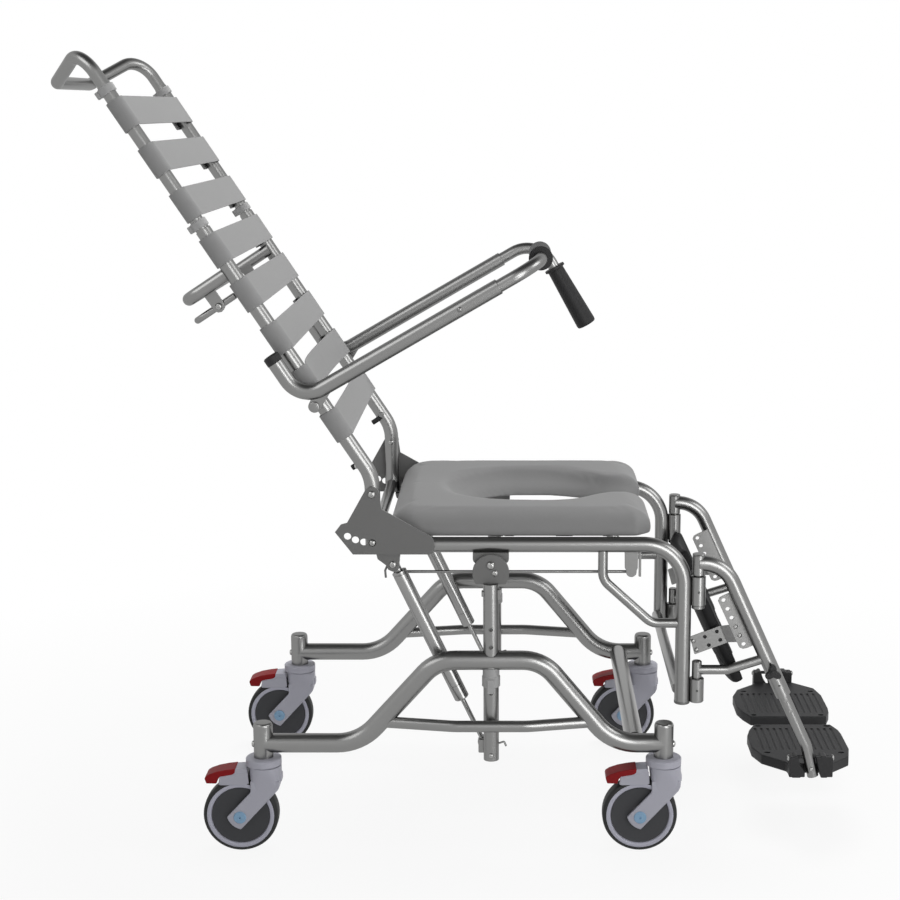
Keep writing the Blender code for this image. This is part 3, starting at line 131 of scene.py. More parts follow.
@dataclass(frozen=True)
class Finish:
    """One surface finish, from its colour down to its grain."""

    label: str
    slot: str
    colour: tuple[float, float, float]
    roughness: tuple[float, float]
    grain: Grain
    scale: float
    depth: float
    metallic: float = 0.0
    spread: float = 0.10
    gloss: float = 0.5
    # edge tints the metal's reflection at grazing angles; values below 1 darken the edges as painted shade.
    edge: float = 1.0
    sheen: float = 0.0

    def material(self) -> bpy.types.Material:
        """Build the finish's material once.

        Returns:
            The material that pieces of this finish share.
        """
        made = bpy.data.materials.get(self.label)
        if made:
            return made
        made = bpy.data.materials.new(self.label)
        made.use_nodes = True
        board = NodeBoard(made.node_tree)
        place = board.add("TexCoord").outputs["Object"]
        cloud = board.add("TexNoise", ("Vector", place), Scale=14.0, Detail=4.0, Roughness=0.6)
        fleck = board.add("TexNoise", ("Vector", place), Scale=self.scale * 0.35, Detail=3.0, Roughness=0.65)
        tone = board.add("MixRGB", ("Color1", cloud.outputs["Fac"]), ("Color2", fleck.outputs["Fac"]), Fac=0.45)
        dark = tuple(c * (1 - self.spread) for c in self.colour)
        light = tuple(min(1.0, c * (1 + self.spread)) for c in self.colour)
        colour = board.ramp(tone.outputs["Color"], (0.32, dark), (0.5, self.colour), (0.68, light))
        rough = board.add("MapRange", ("Value", tone.outputs["Color"]), From_Min=0.35, From_Max=0.65,
                          To_Min=self.roughness[0], To_Max=self.roughness[1])
        bump = board.add("Bump", ("Height", self.relief(board, place)), Strength=1.0, Distance=self.depth)
        # Specular_Tint takes edge: below 1 it darkens the grazing reflections, painted shade along the edges.
        shader = board.add("BsdfPrincipled", ("Base Color", colour), ("Roughness", rough.outputs["Result"]),
                           ("Normal", bump.outputs["Normal"]), Metallic=self.metallic, Specular_IOR_Level=self.gloss,
                           Specular_Tint=(self.edge, self.edge, self.edge, 1.0), Sheen_Weight=self.sheen,
                           Sheen_Roughness=0.45)
        board.add("OutputMaterial", ("Surface", shader.outputs["BSDF"]))
        made.diffuse_color = (*self.colour, 1.0)
        return made

    def relief(self, board: NodeBoard, place: bpy.types.NodeSocket) -> bpy.types.NodeSocket:
        """Height pattern of the finish's grain.

        Args:
            board: Node board of the material.
            place: Socket with the object coordinates.

        Returns:
            A socket with the height, from 0 to 1.
        """
        if self.grain is Grain.SKIN:
            cells = board.add("TexVoronoi", ("Vector", place), feature="SMOOTH_F1", Scale=self.scale, Smoothness=0.6)
            return cells.outputs["Distance"]
        if self.grain is Grain.WOVEN:
            turned = board.add("Mapping", ("Vector", place), Rotation=(0.0, -radians(33.3), 0.0))
            threads = [board.add("TexWave", ("Vector", turned.outputs["Vector"]), bands_direction=direction,
                                 Scale=self.scale, Distortion=0.4, Detail=1.0).outputs["Fac"]
                       for direction in ("Y", "Z")]
            weave = board.add("MixRGB", ("Color1", threads[0]), ("Color2", threads[1]), blend_type="LIGHTEN", Fac=1.0)
            return weave.outputs["Color"]
        detail = 6.0 if self.grain is Grain.SATIN else 2.0
        noise = board.add("TexNoise", ("Vector", place), Scale=self.scale, Detail=detail, Roughness=0.5)
        return noise.outputs["Fac"]


# STEEL takes edge 0.70, which darkens its grazing reflections: painted shade along the tube edges.
STEEL = Finish("satin_steel_tube", "satin_steel", (0.230, 0.230, 0.227), (0.300, 0.312), Grain.SATIN, 700, 0.0000003,
               metallic=1.0, spread=0.03, edge=0.70)
# CROSS is the same steel without the painted edge shade, a lighter copy of it for the cross tubes.
CROSS = replace(STEEL, label="steel_cross_tube", edge=1.0)
BRIGHT = Finish("zinc_fastener", "satin_steel", (0.33, 0.33, 0.325), (0.27, 0.29), Grain.SATIN, 1500, 0.000001,
                metallic=1.0, spread=0.04)
# CHROME takes edge 0.70 too: painted shade along the spring's edges.
CHROME = Finish("polished_spring", "spring_grey", (0.27, 0.27, 0.267), (0.25, 0.262), Grain.SATIN, 1200, 0.0000003,
                metallic=1.0, spread=0.03, edge=0.70)
PLATE = Finish("coated_plate", "plate_grey", (0.150, 0.150, 0.148), (0.46, 0.50), Grain.COATED, 520, 0.00001,
               metallic=0.2, spread=0.03, gloss=0.35)
BAND = Finish("sling_band", "band_grey", (0.295, 0.295, 0.295), (0.60, 0.68), Grain.WOVEN, 160, 0.00006, gloss=0.25,
              spread=0.04)
PAD = Finish("seat_skin", "pad_grey", (0.232, 0.232, 0.232), (0.54, 0.60), Grain.SKIN, 620, 0.00002, gloss=0.30,
             spread=0.03)
CALF = Finish("calf_skin", "pad_black", (0.009, 0.009, 0.0095), (0.58, 0.66), Grain.SKIN, 560, 0.00008, gloss=0.16,
              spread=0.18)
GRIP = Finish("grip_rubber", "grip_black", (0.015, 0.015, 0.0155), (0.52, 0.60), Grain.MOULDED, 1300, 0.00004,
              gloss=0.28, spread=0.18)
FOOT = Finish("footplate_moulding", "plate_black", (0.018, 0.018, 0.019), (0.50, 0.58), Grain.MOULDED, 1000, 0.00005,
              gloss=0.25, spread=0.12)
CASTER = Finish("caster_moulding", "caster_grey", (0.42, 0.42, 0.48), (0.42, 0.48), Grain.MOULDED, 1100, 0.00003,
                gloss=0.4, spread=0.03)
RIM = Finish("wheel_rim", "caster_grey", (0.46, 0.46, 0.54), (0.38, 0.46), Grain.MOULDED, 1100, 0.00003, spread=0.04)
TYRE = Finish("tyre_rubber", "tyre_dark", (0.016, 0.017, 0.017), (0.58, 0.68), Grain.MOULDED, 900, 0.00006, gloss=0.3,
              spread=0.2)
DISC = Finish("wheel_disc", "tyre_dark", (0.040, 0.041, 0.045), (0.48, 0.56), Grain.MOULDED, 1000, 0.00004, gloss=0.3,
              spread=0.08)
RED = Finish("brake_tread", "pedal_red", (0.235, 0.007, 0.009), (0.46, 0.54), Grain.MOULDED, 1200, 0.00004, gloss=0.14,
             spread=0.12)
BLUE = Finish("axle_cap", "caster_grey", (0.22, 0.38, 0.55), (0.40, 0.48), Grain.MOULDED, 1200, 0.00003, spread=0.05)
CLIP = Finish("clip_plastic", "band_grey", (0.40, 0.40, 0.40), (0.46, 0.52), Grain.MOULDED, 1100, 0.00002, gloss=0.3,
              spread=0.03)


class Bench:
    """Modelling bench: one piece at a time, shaped with Blender's own operators."""

    SIDES = 32

    @classmethod
    def rest(cls) -> None:
        """Leave edit mode and deselect everything."""
        if bpy.context.mode != "OBJECT":
            bpy.ops.object.mode_set(mode="OBJECT")
        bpy.ops.object.select_all(action="DESELECT")

    @classmethod
    def take(cls, *pieces: Piece) -> None:
        """Select the given pieces alone.

        Args:
            pieces: The pieces, the active one first.
        """
        cls.rest()
        for piece in pieces:
            piece.select_set(True)
        bpy.context.view_layer.objects.active = pieces[0]

    @classmethod
    def open(cls, piece: Piece) -> None:
        """Take a piece into edit mode.

        Args:
            piece: The piece, which comes up with all of it selected.
        """
        cls.take(piece)
        bpy.ops.object.mode_set(mode="EDIT")
        bpy.ops.mesh.select_mode(type="VERT")
        bpy.ops.mesh.select_all(action="SELECT")

    @classmethod
    def fresh(cls) -> Piece:
        """Fix a new primitive's place in its mesh and open it.

        Returns:
            The primitive, in edit mode.
        """
        piece = bpy.context.object
        bpy.ops.object.transform_apply(location=True, rotation=True, scale=True)
        cls.open(piece)
        return piece

    @classmethod
    def settle(cls, piece: Piece) -> Piece:
        """Merge doubled points, turn the faces outwards and leave edit mode.

        Args:
            piece: The piece in edit mode.

        Returns:
            The same piece.
        """
        bpy.ops.mesh.select_all(action="SELECT")
        bpy.ops.mesh.remove_doubles(threshold=1e-6)
        bpy.ops.mesh.normals_make_consistent(inside=False)
        cls.rest()
        return piece

    @classmethod
    def push(cls, step: Point) -> None:
        """Extrude what is selected by a step."""
        bpy.ops.mesh.extrude_region_move(TRANSFORM_OT_translate={"value": tuple(step)})

    @classmethod
    def trace(cls, points: Sequence[Point]) -> Piece:
        """Draw a line of points, left open in edit mode.

        Args:
            points: The places of the points.

        Returns:
            The piece that holds the line.
        """
        cls.rest()
        bpy.ops.mesh.primitive_plane_add(size=0.01, location=points[0])
        piece = cls.fresh()
        bpy.ops.mesh.merge(type="CENTER")
        for here, there in zip(points, points[1:]):
            step = Vector(there) - Vector(here)
            bpy.ops.mesh.extrude_vertices_move(TRANSFORM_OT_translate={"value": tuple(step)})
        bpy.ops.mesh.select_all(action="SELECT")
        return piece

    @classmethod
    def tube(cls, points: Sequence[Point], bends: Sequence[float], radius: float, sides: int = SIDES) -> Piece:
        """Run a round tube along a line and bend it at the inner corners.

        Args:
            points: Ends and corners of the centre line.
            bends: Bend radius at each inner corner.
            radius: Outer radius of the tube.
            sides: Points round the tube.

        Returns:
            The closed tube.
        """
        path = [Vector(p) for p in points]
        heading = (path[1] - path[0]).normalized()
        cls.rest()
        bpy.ops.mesh.primitive_circle_add(vertices=sides, radius=radius, fill_type="NOTHING", location=path[0],
                                          rotation=heading.to_track_quat("Z", "Y").to_euler())
        piece = cls.fresh()
        at = path[0]
        for corner, after, bend in zip(path[1:], path[2:], bends):
            back = (at - corner).normalized()
            ahead = (after - corner).normalized()
            opening = back.angle(ahead)
            reach = bend / tan(opening / 2)
            centre = corner + (back + ahead).normalized() * bend / sin(opening / 2)
            cls.push(corner + back * reach - at)
            bpy.ops.mesh.spin(steps=max(4, ceil((pi - opening) / radians(6))), angle=pi - opening, center=centre,
                              axis=back.cross(ahead).normalized())
            at = corner + ahead * reach
        cls.push(path[-1] - at)
        bpy.ops.mesh.select_all(action="SELECT")
        bpy.ops.mesh.fill_holes(sides=0)
        return cls.settle(piece)

    @classmethod
    def rod(cls, start: Point, end: Point, radius: float, sides: int = SIDES) -> Piece:
        """A straight round bar between two points."""
        return cls.tube((start, end), (), radius, sides)

    @classmethod
    def pins(cls, spots: Sequence[Pair], low: float, high: float, radius: float, sides: int = 20) -> list[Piece]:
        """Round bars along Y, one at each pair of X and Z."""
        return [cls.rod((x, low, z), (x, high, z), radius, sides) for x, z in spots]

    @classmethod
    def lathe(cls, profile: Sequence[Pair], centre: Point, axis: Point, steps: int = SIDES) -> Piece:
        """Turn a profile round an axis.

        Args:
            profile: Pairs of distance along the axis and radius.
            centre: Point that the distances start from.
            axis: Direction of the axis.
            steps: Faces round the piece.

        Returns:
            The turned piece.
        """
        along = Vector(axis).normalized()
        out = along.orthogonal().normalized()
        piece = cls.trace([Vector(centre) + along * a + out * r for a, r in profile])
        bpy.ops.mesh.spin(steps=steps, angle=2 * pi, center=centre, axis=along)
        return cls.settle(piece)

    @classmethod
    def spindle(cls, profile: Sequence[Pair], centre: Point, axis: Point, steps: int = SIDES) -> Piece:
        """Turn a solid piece, its profile run in to the axis at both ends."""
        return cls.lathe([(profile[0][0], 0.0), *profile, (profile[-1][0], 0.0)], centre, axis, steps)

    @classmethod
    def hoop(cls, profile: Sequence[Pair], centre: Point, axis: Point, steps: int = SIDES) -> Piece:
        """Turn a ring, its profile closed on itself."""
        return cls.lathe([*profile, profile[0]], centre, axis, steps)

    @classmethod
    def plate(cls, outline: Sequence[Point], step: Point) -> Piece:
        """Fill a traced outline and give it its thickness.

        Args:
            outline: Corners in order.
            step: Thickness as a vector.

        Returns:
            The closed plate.
        """
        piece = cls.trace(outline)
        bpy.ops.mesh.edge_face_add()
        cls.push(step)
        return cls.settle(piece)

    @classmethod
    def slab(cls, outline: Sequence[Pair], y: float, deep: float, width: float = 0.0, segments: int = 2) -> Piece:
        """Stand a plate of X and Z pairs up at a Y, and ease its edges by a width."""
        piece = cls.plate([(x, y, z) for x, z in outline], (0, deep, 0))
        return cls.ease(piece, width, segments) if width else piece

    @classmethod
    def loft(cls, loops: Sequence[Sequence[Point]]) -> Piece:
        """Bridge closed loops of points one after the other and close both ends.

        Args:
            loops: The loops in order, each with the same number of points.

        Returns:
            The closed piece.
        """
        rings = []
        for loop in loops:
            rings.append(cls.trace([*loop, loop[0]]))
            bpy.ops.mesh.remove_doubles(threshold=1e-6)
        piece = cls.join(*rings)
        cls.open(piece)
        bpy.ops.mesh.bridge_edge_loops()
        bpy.ops.mesh.select_all(action="SELECT")
        bpy.ops.mesh.fill_holes(sides=0)
        return cls.settle(piece)

    @classmethod
    def block(cls, low: Point, high: Point, bevel: float) -> Piece:
        """A rounded block between two corners.

        Args:
            low: Corner with the smallest coordinates.
            high: Corner with the largest.
            bevel: Radius of its edges.

        Returns:
            The block.
        """
        cls.rest()
        low, high = Vector(low), Vector(high)
        bpy.ops.mesh.primitive_cube_add(size=1.0, location=(low + high) / 2, scale=high - low)
        piece = cls.fresh()
        bpy.ops.mesh.bevel(offset=bevel, segments=3, affect="EDGES")
        return cls.settle(piece)

    @classmethod
    def modify(cls, piece: Piece, kind: str, **values) -> Piece:
        """Add one modifier, set it and apply it.

        Args:
            piece: The piece to change.
            kind: Modifier type.
            values: The modifier's settings.

        Returns:
            The same piece.
        """
        cls.take(piece)
        bpy.ops.object.modifier_add(type=kind)
        modifier = piece.modifiers[-1]
        for key, value in values.items():
            setattr(modifier, key, value)
        bpy.ops.object.modifier_apply(modifier=modifier.name)
        return piece

    @classmethod
    def ease(cls, piece: Piece, width: float = 0.0006, segments: int = 2, sharp: float = 40.0) -> Piece:
        """Round the edges sharper than an angle in degrees."""
        return cls.modify(piece, "BEVEL", width=width, segments=segments, limit_method="ANGLE",
                          angle_limit=radians(sharp))

    @classmethod
    def drop(cls, *pieces: Piece) -> None:
        """Delete tools that have done their work."""
        cls.take(*pieces)
        bpy.ops.object.delete()

    @classmethod
    def cut(cls, piece: Piece, *tools: Piece, operation: str = "DIFFERENCE") -> Piece:
        """Cut the tools' shapes out of a piece and delete the tools.

        Args:
            piece: The piece to change.
            tools: Shapes to cut with, one after the other.
            operation: UNION welds them in instead.

        Returns:
            The same piece.
        """
        for tool in tools:
            cls.modify(piece, "BOOLEAN", operation=operation, solver="EXACT", object=tool)
        cls.drop(*tools)
        return piece

    @classmethod
    def fuse(cls, piece: Piece, *others: Piece) -> Piece:
        """Weld other shapes into a piece."""
        return cls.cut(piece, *others, operation="UNION")

    @classmethod
    def join(cls, *pieces: Piece) -> Piece:
        """Make one object of several shapes.

        Args:
            pieces: The shapes.

        Returns:
            The first of them, which takes up the rest.
        """
        cls.take(*pieces)
        if len(pieces) > 1:
            bpy.ops.object.join()
        return pieces[0]

    @classmethod
    def copy(cls, piece: Piece, matrix: Matrix) -> Piece:
        """Copy a piece with its own mesh.

        Args:
            piece: The piece at rest.
            matrix: Where the copy goes.

        Returns:
            The copy, with its place in its mesh and its faces outwards.
        """
        cls.take(piece)
        bpy.ops.object.duplicate()
        twin = bpy.context.object
        twin.matrix_world = matrix
        bpy.ops.object.transform_apply(location=True, rotation=True, scale=True)
        solid = bmesh.new()
        solid.from_mesh(twin.data)
        inside_out = solid.calc_volume(signed=True) < 0
        solid.free()
        if inside_out:
            cls.open(twin)
            bpy.ops.mesh.flip_normals()
        cls.rest()
        return twin

    @classmethod
    def smooth(cls, piece: Piece, angle: float = 38.0) -> None:
        """Shade a piece smooth except at its sharp edges.

        Args:
            piece: The piece.
            angle: Edges sharper than this, in degrees, stay sharp.
        """
        cls.take(piece)
        bpy.ops.object.shade_smooth_by_angle(angle=radians(angle))
        cls.modify(piece, "WEIGHTED_NORMAL", keep_sharp=True)
        cls.rest()


UP, OUT, ACROSS = Vector((0, 0, 1)), Vector((0, -1, 0)), Vector((0, 1, 0))
MIRROR = Matrix.Scale(-1, 4, ACROSS)


def toward(centre: Point, axis: Point) -> Matrix:
    """Place of a piece modelled along +Z at the origin.

    Args:
        centre: Where its origin goes.
        axis: Where its +Z goes.

    Returns:
        The matrix of that place.
    """
    turn = Vector(axis).normalized().to_track_quat("Z", "Y").to_matrix().to_4x4()
    return Matrix.Translation(Vector(centre)) @ turn


def arc(centre: Pair, radius: float, start: float, stop: float, steps: int) -> list[Pair]:
    """Points on an arc in a flat outline.

    Args:
        centre: Centre of the arc.
        radius: Its radius.
        start: First angle in degrees.
        stop: Last angle in degrees.
        steps: Number of steps between them.

    Returns:
        The points in order.
    """
    turns = [radians(start + (stop - start) * i / steps) for i in range(steps + 1)]
    return [(centre[0] + radius * cos(a), centre[1] + radius * sin(a)) for a in turns]



class Assembly:
    """A group of pieces that are modelled, dressed and set on their bodies."""

    def place(self, piece: Piece, name: str, body: str, finish: Finish, *nodes: str) -> Piece:
        """Dress a piece and let it ride on a body.

        Args:
            piece: The finished shape.
            name: Its name.
            body: Body that carries it.
            finish: Its finish.
            nodes: Solids that it stands for.

        Returns:
            The same piece.
        """
        Bench.smooth(piece)
        piece.name = name
        piece.data.name = name
        piece.data.materials.clear()
        piece.data.materials.append(finish.material())
        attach(piece, body)
        if nodes:
            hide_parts(*nodes)
        LOG.info("%s on %s, %d faces", name, body, len(piece.data.polygons))
        return piece

    def pair(self, piece: Piece, name: str, body: str, finish: Finish, *nodes: str) -> tuple[Piece, Piece]:
        """Place a right-hand piece and its mirrored copy.

        Args:
            piece: The right-hand shape.
            name: Name without the side.
            body: Body with {} for the side, or one body for both.
            finish: Finish of both.
            nodes: Names of the solids without the side.

        Returns:
            The right and the left piece.
        """
        twins = (piece, Bench.copy(piece, MIRROR))
        for side, twin in zip(Side, twins):
            names = [f"{node}_{side.label}" for node in nodes]
            self.place(twin, f"{name}_{side.label}", body.format(side.label), finish, *names)
        return twins

    def bolts(self, name: str, body: str, *places: tuple[Point, Point, float], finish: Finish = BRIGHT) -> None:
        """Set the screw heads of both sides, given by centre, outward axis and radius on the right."""
        self.pair(Fasteners().set_at(*places), name, body, finish)


@dataclass
class Fasteners:
    """Screws and bolts, each modelled once and copied to where they are needed."""

    head_r: float = 0.0052
    head_h: float = 0.0032
    socket_r: float = 0.0024

    def button(self) -> Piece:
        """A domed screw head with a six-sided socket.

        Returns:
            The head, along +Z at the origin.
        """
        r, h = self.head_r, self.head_h
        dome = [(-0.001, r), (h * 0.25, r), (h * 0.62, r * 0.86), (h * 0.9, r * 0.6), (h, r * 0.3)]
        head = Bench.spindle(dome, (0, 0, 0), UP, 24)
        socket = Bench.spindle([(h * 0.3, self.socket_r), (h * 2, self.socket_r)], (0, 0, 0), UP, 6)
        return Bench.cut(head, socket)

    def set_at(self, *places: tuple[Point, Point, float]) -> Piece:
        """Copy screw heads to their places as one shape.

        Args:
            places: Centre, outward axis and radius of each head.

        Returns:
            The joined heads.
        """
        model = self.button()
        heads = []
        for centre, axis, radius in places:
            size = Matrix.Scale(radius / self.head_r, 4)
            heads.append(Bench.copy(model, toward(centre, axis) @ size))
        Bench.drop(model)
        return Bench.join(*heads)



@dataclass
class Base(Assembly):
    """Arched side tubes with caster sockets, braces, cross tube and post guides."""

    post_x: float = 0.051
    half: float = 0.250
    tube_r: float = 0.016
    low_z: float = 0.1845
    top_z: float = 0.3273
    rear_x: float = -0.327
    front_x: float = 0.337
    low_bend: float = 0.085
    top_bend: float = 0.067
    brace_r: float = 0.0095
    brace_z: float = 0.2215
    brace_bend: float = 0.080
    bow: float = 0.2734
    cross_x: float = 0.289
    cross_r: float = 0.0155
    bolt_z: float = 0.183
    bolt_r: float = 0.0055

    def build(self) -> None:
        """Model and dress the base."""
        y, r, px = -self.half, self.tube_r, self.post_x
        arch = [(x, y, z) for x, z in ((self.rear_x, self.low_z), (-0.1666, self.low_z), (-0.038, self.top_z),
                                       (0.1343, self.top_z), (0.2525, self.low_z), (self.front_x, self.low_z))]
        side = Bench.tube(arch, (self.low_bend, self.top_bend, self.top_bend, self.low_bend), r)
        socket = [(0.160, r), (0.2150, r), (0.2182, r * 0.95), (0.2201, r * 0.85), (0.2207, r * 0.72)]
        for x in (self.rear_x, self.front_x):
            Bench.fuse(side, Bench.spindle(socket, (x, y, 0), UP))
        bore = Bench.rod((px, y, 0.28), (px, y, 0.37), 0.0134)
        self.pair(Bench.cut(side, bore), "arched_tube", "base", STEEL, "base_side")
        run = [(x, w, self.brace_z) for x, w in ((-0.1333, y), (-0.009, -self.bow), (0.111, -self.bow), (0.2219, y))]
        brace = Bench.tube(run, (self.brace_bend, self.brace_bend), self.brace_r)
        self.pair(brace, "bowed_brace", "base", STEEL, "base_brace")
        reach = self.half - 0.010
        cross = Bench.rod((self.cross_x, -reach, self.low_z), (self.cross_x, reach, self.low_z), self.cross_r)
        # The cross tube takes the steel without painted edge shade, so it renders lighter than the other tubes.
        self.place(cross, "front_cross_tube", "base", CROSS, "base_cross")
        self.bolts("socket_bolts", "base", ((self.rear_x - r, y, self.bolt_z), (-1, 0, 0), self.bolt_r),
                   ((self.front_x + r, y, self.bolt_z), (1, 0, 0), self.bolt_r))
        guide = Bench.hoop([(0.2835, 0.0131), (0.2835, 0.0142), (0.2845, 0.0150), (0.3005, 0.0150), (0.3018, 0.0138),
                            (0.3150, 0.0138), (0.3150, 0.0131)], (px, y, 0), UP)
        tab = Bench.block((px - 0.0062, y - 0.0172, 0.2745), (px + 0.0062, y - 0.0136, 0.2985), 0.0012)
        self.pair(Bench.join(guide, tab), "post_guide", "base", CLIP)


@dataclass
class Casters(Assembly):
    """Four swivel casters with wheel and brake pedal, modelled once at a stem."""

    base: Base
    wheel_r: float = 0.0625
    axle_x: float = -0.039
    leg_in: float = 0.0165
    leg_out: float = 0.0225
    toe: float = 0.0150
    toe_half: float = 0.0157
    toe_bow: float = 0.0042
    levels: tuple[tuple[float, float, float, float, float], ...] = (
        (0.1090, -0.0203, 0.0255, 0.0226, 6.0), (0.1160, -0.0206, 0.0278, 0.0231, 5.0),
        (0.1240, -0.0214, 0.0285, 0.0244, 4.0), (0.1320, -0.0226, 0.0288, 0.0264, 3.0),
        (0.1400, -0.0236, 0.0290, 0.0284, 2.4), (0.1475, -0.0240, 0.0290, 0.0290, 2.2))

    @property
    def axle(self) -> Vector:
        """Middle of the wheel."""
        return Vector((self.axle_x, 0, self.wheel_r))

    def barrel(self) -> Piece:
        """Body under the swivel ring, round above and square below, open over the wheel.

        Returns:
            The body.
        """
        loops = []
        for z, rear, front, half, power in self.levels:
            loop = []
            for i in range(40):
                c, s = cos(i * pi / 20), sin(i * pi / 20)
                x = (front + rear) / 2 + (front - rear) / 2 * copysign(abs(c) ** (2 / power), c)
                loop.append((x, half * copysign(abs(s) ** (2 / power), s), z))
            loops.append(loop)
        well = Bench.spindle([(-0.0160, 0.0655), (0.0160, 0.0655)], self.axle, ACROSS, 48)
        return Bench.ease(Bench.cut(Bench.loft(loops), well), 0.0006, 2, 60)

    def fork(self) -> Piece:
        """Swivel ring, body and two legs of a fork at the origin.

        Returns:
            The joined shape.
        """
        collar = Bench.spindle([(0.1610, 0.0262), (0.1604, 0.0284), (0.1592, 0.0295), (0.1492, 0.0295),
                                (0.1486, 0.0290), (0.1486, 0.0268), (0.1470, 0.0268)], (0, 0, 0), UP, 48)
        down = Vector((-0.685, -0.728))
        across = Vector((0.728, -0.685))
        axle = Vector((self.axle_x, self.wheel_r))
        tip = [axle + down * (self.toe + self.toe_bow * (1 - t * t)) + across * self.toe_half * t
               for t in (1, 0.66, 0.33, 0, -0.33, -0.66, -1)]
        outline = [tip.pop(), (-0.0215, 0.1045), (-0.0203, 0.1080), (-0.0203, 0.1250), (0.0280, 0.1250),
                   (0.0270, 0.1150), (0.0240, 0.1085), *tip]
        leg = Bench.slab(outline, self.leg_in, self.leg_out - self.leg_in, 0.0014, 3)
        twin = Bench.copy(leg, MIRROR)
        nub = Bench.block((0.0255, -0.0090, 0.1200), (0.0303, 0.0090, 0.1330), 0.0018)
        return Bench.join(collar, self.barrel(), leg, twin, nub)

    def cap(self) -> Piece:
        """Axle caps on both legs.

        Returns:
            Both caps as one shape.
        """
        out = self.leg_out
        profile = [(out - 0.002, 0.0104), (out + 0.0012, 0.0104), (out + 0.0022, 0.0094), (out + 0.0022, 0.0020),
                   (out + 0.0004, 0.0016)]
        near = Bench.spindle(profile, self.axle, OUT, 24)
        return Bench.join(near, Bench.copy(near, MIRROR))

    def ring(self, half: Sequence[Pair]) -> Piece:
        """A wheel ring from the right half of its closed profile.

        Args:
            half: Pairs of distance from the wheel's middle and radius, inside to outside.

        Returns:
            The turned ring.
        """
        profile = [(-a, r) for a, r in half] + [(a, r) for a, r in reversed(half)]
        return Bench.hoop(profile, self.axle, ACROSS, 64)

    def pedal(self) -> tuple[Piece, Piece]:
        """Grey arm with side skirts, and the red tread over its rear end.

        Returns:
            The arm and the tread.
        """
        arm = Bench.slab([(-0.0745, 0.1290), (-0.0600, 0.1293), (-0.0262, 0.1300), (-0.0262, 0.1452), (-0.0340, 0.1450),
                          (-0.0450, 0.1442), (-0.0540, 0.1418), (-0.0740, 0.1345)], -0.0168, 0.0336, 0.0012, 3)
        skirt = Bench.slab([(-0.0740, 0.1185), (-0.0715, 0.1165), (-0.0300, 0.1165), (-0.0236, 0.1195),
                            (-0.0252, 0.1400), (-0.0480, 0.1352), (-0.0720, 0.1300)], 0.0128, 0.0046, 0.0012, 3)
        tread = Bench.slab([(-0.0966, 0.1280), (-0.0940, 0.1198), (-0.0770, 0.1195), (-0.0752, 0.1262),
                            (-0.0715, 0.1312), (-0.0505, 0.1352), (-0.0462, 0.1380), (-0.0452, 0.1452),
                            (-0.0600, 0.1434), (-0.0760, 0.1402), (-0.0890, 0.1356), (-0.0955, 0.1315)],
                           -0.0180, 0.0360, 0.0016, 3)
        return Bench.join(arm, skirt, Bench.copy(skirt, MIRROR)), tread

    def build(self) -> None:
        """Copy the caster to the four stems of the base."""
        tyre = [(0.0120, 0.0545), (0.0146, 0.0550), (0.0148, 0.0568), (0.0143, 0.0592), (0.0128, 0.0612),
                (0.0100, 0.0622), (0.0050, 0.0625)]
        rim = [(0.0100, 0.0480), (0.0128, 0.0486), (0.0142, 0.0496), (0.0146, 0.0512), (0.0150, 0.0520),
               (0.0152, 0.0545), (0.0147, 0.0558), (0.0100, 0.0560)]
        disc = [(0.0156, 0.0066), (0.0156, 0.0140), (0.0120, 0.0165), (0.0112, 0.0200), (0.0118, 0.0440),
                (0.0128, 0.0480), (0.0108, 0.0488)]
        arm, tread = self.pedal()
        models = ((self.fork(), "fork", "caster", CASTER, "caster_fork"), (self.cap(), "axle_caps", "caster", BLUE, ""),
                  (self.ring(tyre), "tyre", "wheel", TYRE, "caster_wheel"), (self.ring(rim), "rim", "wheel", RIM, ""),
                  (self.ring(disc), "disc", "wheel", DISC, ""), (tread, "tread", "pedal", RED, "caster_pedal"),
                  (arm, "pedal_arm", "pedal", CASTER, ""))
        for end, x in (("rear", self.base.rear_x), ("front", self.base.front_x)):
            for side in Side:
                where = f"{end}_{side.label}"
                for model, name, body, finish, node in models:
                    twin = Bench.copy(model, Matrix.Translation((x, side.value * self.base.half, 0)))
                    nodes = [f"{node}_{where}"] if node else []
                    self.place(twin, f"{name}_{where}", f"{body}_{where}", finish, *nodes)
        Bench.drop(*(model[0] for model in models))


